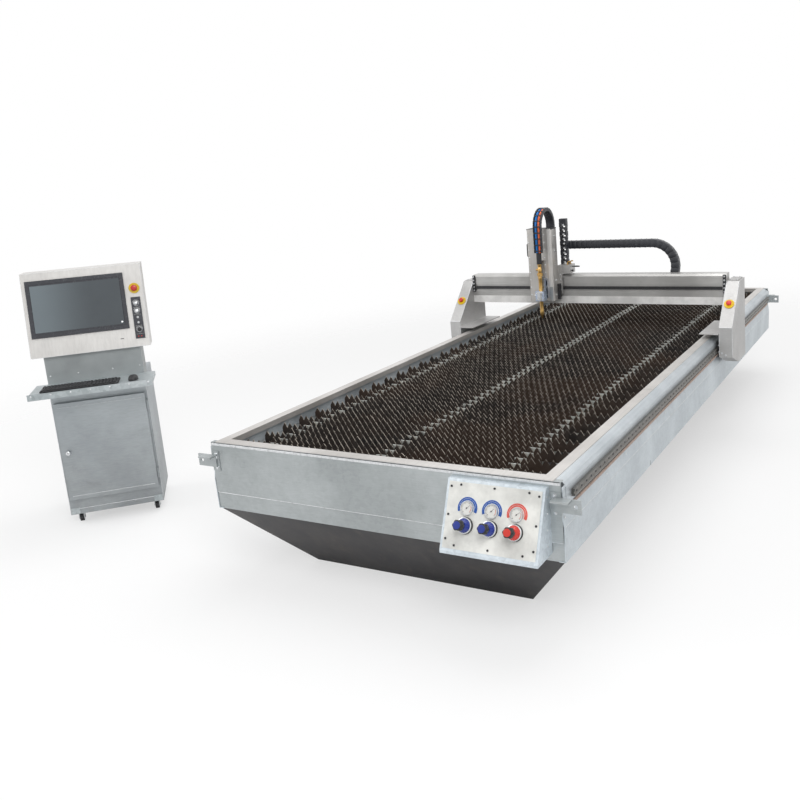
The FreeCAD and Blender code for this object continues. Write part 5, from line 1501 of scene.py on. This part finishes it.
def caster_trim():
    """Tyre treads with rounded shoulders over each wheel and axle nuts; each tread rides on its own
    wheel, the front nuts on their own forks and the rear nuts on the table."""
    tyre = turned([(0.0165, -0.0112), (0.0215, -0.0112), (0.0242, -0.0085), (0.0249, 0), (0.0242, 0.0085),
                   (0.0215, 0.0112), (0.0165, 0.0112)], 36)
    nut = turned([(0.0052, 0), (0.0052, 0.0032), (0.004, 0.0042), (0, 0.0042)], 6)
    corners = (("front_left", -1, -1), ("front_right", 1, -1), ("rear_left", -1, 1), ("rear_right", 1, 1))
    for name, side, end in corners:
        centre = at_console(side * CASTER_ASIDE, end * CASTER_BEHIND + TRAIL, WHEEL_RADIUS)
        tyre.put(centre, BEHIND, UP, ASIDE).make(name + "_tyre", name + "_wheel", RUBBER, "wheel_rubber")
        owner = name + "_fork" if end < 0 else TABLE
        nuts = Surface()
        for way in (-1, 1):
            nuts.add(nut.put(centre + ASIDE * way * 0.0172, BEHIND, UP, ASIDE * way))
        nuts.make(name + "_axle_nuts", owner, BRIGHT_STEEL, "caster_steel")


head_front()
head_edges()
keyboard()
desk_screws()
cabinet_trim()
door_trim()
caster_trim()


# stage, lights and camera


def stage_surface():
    """A pale floor that keeps the machine's shadow near it and turns into the white background farther
    out: its plain diffuse part is mixed with white light for camera rays and clears with distance."""
    finish = Finish("stage_floor")
    finish.set(Base_Color=(0.9, 0.9, 0.9, 1.0), Roughness=0.8)
    tree = finish.tree
    glow = tree.nodes.new("ShaderNodeEmission")
    glow.inputs["Strength"].default_value = 1.0
    clear = tree.nodes.new("ShaderNodeBsdfTransparent")
    path = tree.nodes.new("ShaderNodeLightPath")
    seen = Signal(finish, path.outputs["Is Camera Ray"])
    across, along = finish.axis("X") + 0.7, finish.axis("Y")
    square = across * across + along * along * 0.6
    reach = finish.add("ShaderNodeMath", {"operation": "SQRT"}, {0: square})
    far = reach.fade(2.6, 6.5)
    warm = tree.nodes.new("ShaderNodeMixShader")
    tree.links.new((seen * 0.55).socket, warm.inputs[0])
    tree.links.new(finish.shader.outputs[0], warm.inputs[1])
    tree.links.new(glow.outputs[0], warm.inputs[2])
    fading = tree.nodes.new("ShaderNodeMixShader")
    tree.links.new(far.socket, fading.inputs[0])
    tree.links.new(warm.outputs[0], fading.inputs[1])
    tree.links.new(clear.outputs[0], fading.inputs[2])
    tree.links.new(fading.outputs[0], tree.nodes["Material Output"].inputs["Surface"])
    return finish.material


def lay_floor():
    """A large level floor just under the wheels and hopper."""
    mesh = bpy.data.meshes.new("floor")
    reach = 30.0
    corners = [(-reach, -reach, 0), (reach, -reach, 0), (reach, reach, 0), (-reach, reach, 0)]
    mesh.from_pydata(corners, [], [(0, 1, 2, 3)])
    floor = bpy.data.objects.new("floor", mesh)
    bpy.context.scene.collection.objects.link(floor)
    mesh.materials.append(stage_surface())
    floor.location.z = -0.0005


def light_world():
    """A plain white world for camera, mirror and glass rays, softer for what it lights."""
    world = bpy.data.worlds.new("studio")
    bpy.context.scene.world = world
    world.use_nodes = True
    tree = world.node_tree
    tree.nodes.clear()
    out = tree.nodes.new("ShaderNodeOutputWorld")
    seen = tree.nodes.new("ShaderNodeBackground")
    lit = tree.nodes.new("ShaderNodeBackground")
    mix = tree.nodes.new("ShaderNodeMixShader")
    path = tree.nodes.new("ShaderNodeLightPath")
    most = tree.nodes.new("ShaderNodeMath")
    most.operation = "MAXIMUM"
    most_all = tree.nodes.new("ShaderNodeMath")
    most_all.operation = "MAXIMUM"
    seen.inputs["Strength"].default_value = 1.0
    seen.inputs["Color"].default_value = (1, 1, 1, 1)
    lit.inputs["Strength"].default_value = 0.5
    lit.inputs["Color"].default_value = (1, 1, 1, 1)
    tree.links.new(path.outputs["Is Camera Ray"], most.inputs[0])
    tree.links.new(path.outputs["Is Glossy Ray"], most.inputs[1])
    tree.links.new(most.outputs[0], most_all.inputs[0])
    tree.links.new(path.outputs["Is Transmission Ray"], most_all.inputs[1])
    tree.links.new(most_all.outputs[0], mix.inputs["Fac"])
    tree.links.new(lit.outputs[0], mix.inputs[1])
    tree.links.new(seen.outputs[0], mix.inputs[2])
    tree.links.new(mix.outputs[0], out.inputs["Surface"])


def lamp(name, spot, aim, wide, tall, power):
    """A soft rectangular lamp at a spot, turned towards a point."""
    data = bpy.data.lights.new(name, "AREA")
    data.shape = "RECTANGLE"
    data.size, data.size_y = wide, tall
    data.energy = power
    piece = bpy.data.objects.new(name, data)
    bpy.context.scene.collection.objects.link(piece)
    way = Vector(aim) - Vector(spot)
    piece.location = spot
    piece.rotation_euler = way.to_track_quat("-Z", "Y").to_euler()


def photo_camera():
    """The camera that the photograph was measured with: 39.17 mm lens, small shift."""
    data = bpy.data.cameras.new("photo_camera")
    data.sensor_width = 36.0
    data.lens = 39.17
    data.shift_x, data.shift_y = -0.10, -0.075
    data.clip_end = 200
    camera = bpy.data.objects.new("photo_camera", data)
    bpy.context.scene.collection.objects.link(camera)
    right = Vector((0.88455, 0.46061, -0.07357))
    up = Vector((-0.03117, 0.21574, 0.97595))
    back = Vector((0.46542, -0.86099, 0.20520))
    turn = Matrix((right, up, back)).transposed()
    camera.matrix_world = Matrix.Translation((2.3381, -5.5639, 2.1016)) @ turn.to_4x4()
    bpy.context.scene.camera = camera


lay_floor()
light_world()
lamp("key_lamp", (4.5, -6.5, 6.5), (0, 0, 0.6), 4.0, 4.0, 330)
lamp("fill_lamp", (-6.5, -5.5, 4.5), (-0.5, -0.5, 0.6), 5.0, 4.0, 170)
lamp("top_lamp", (0.5, 1.0, 7.5), (0, 0, 0.5), 6.0, 6.0, 230)
photo_camera()
bpy.context.scene.view_settings.view_transform = "Standard"
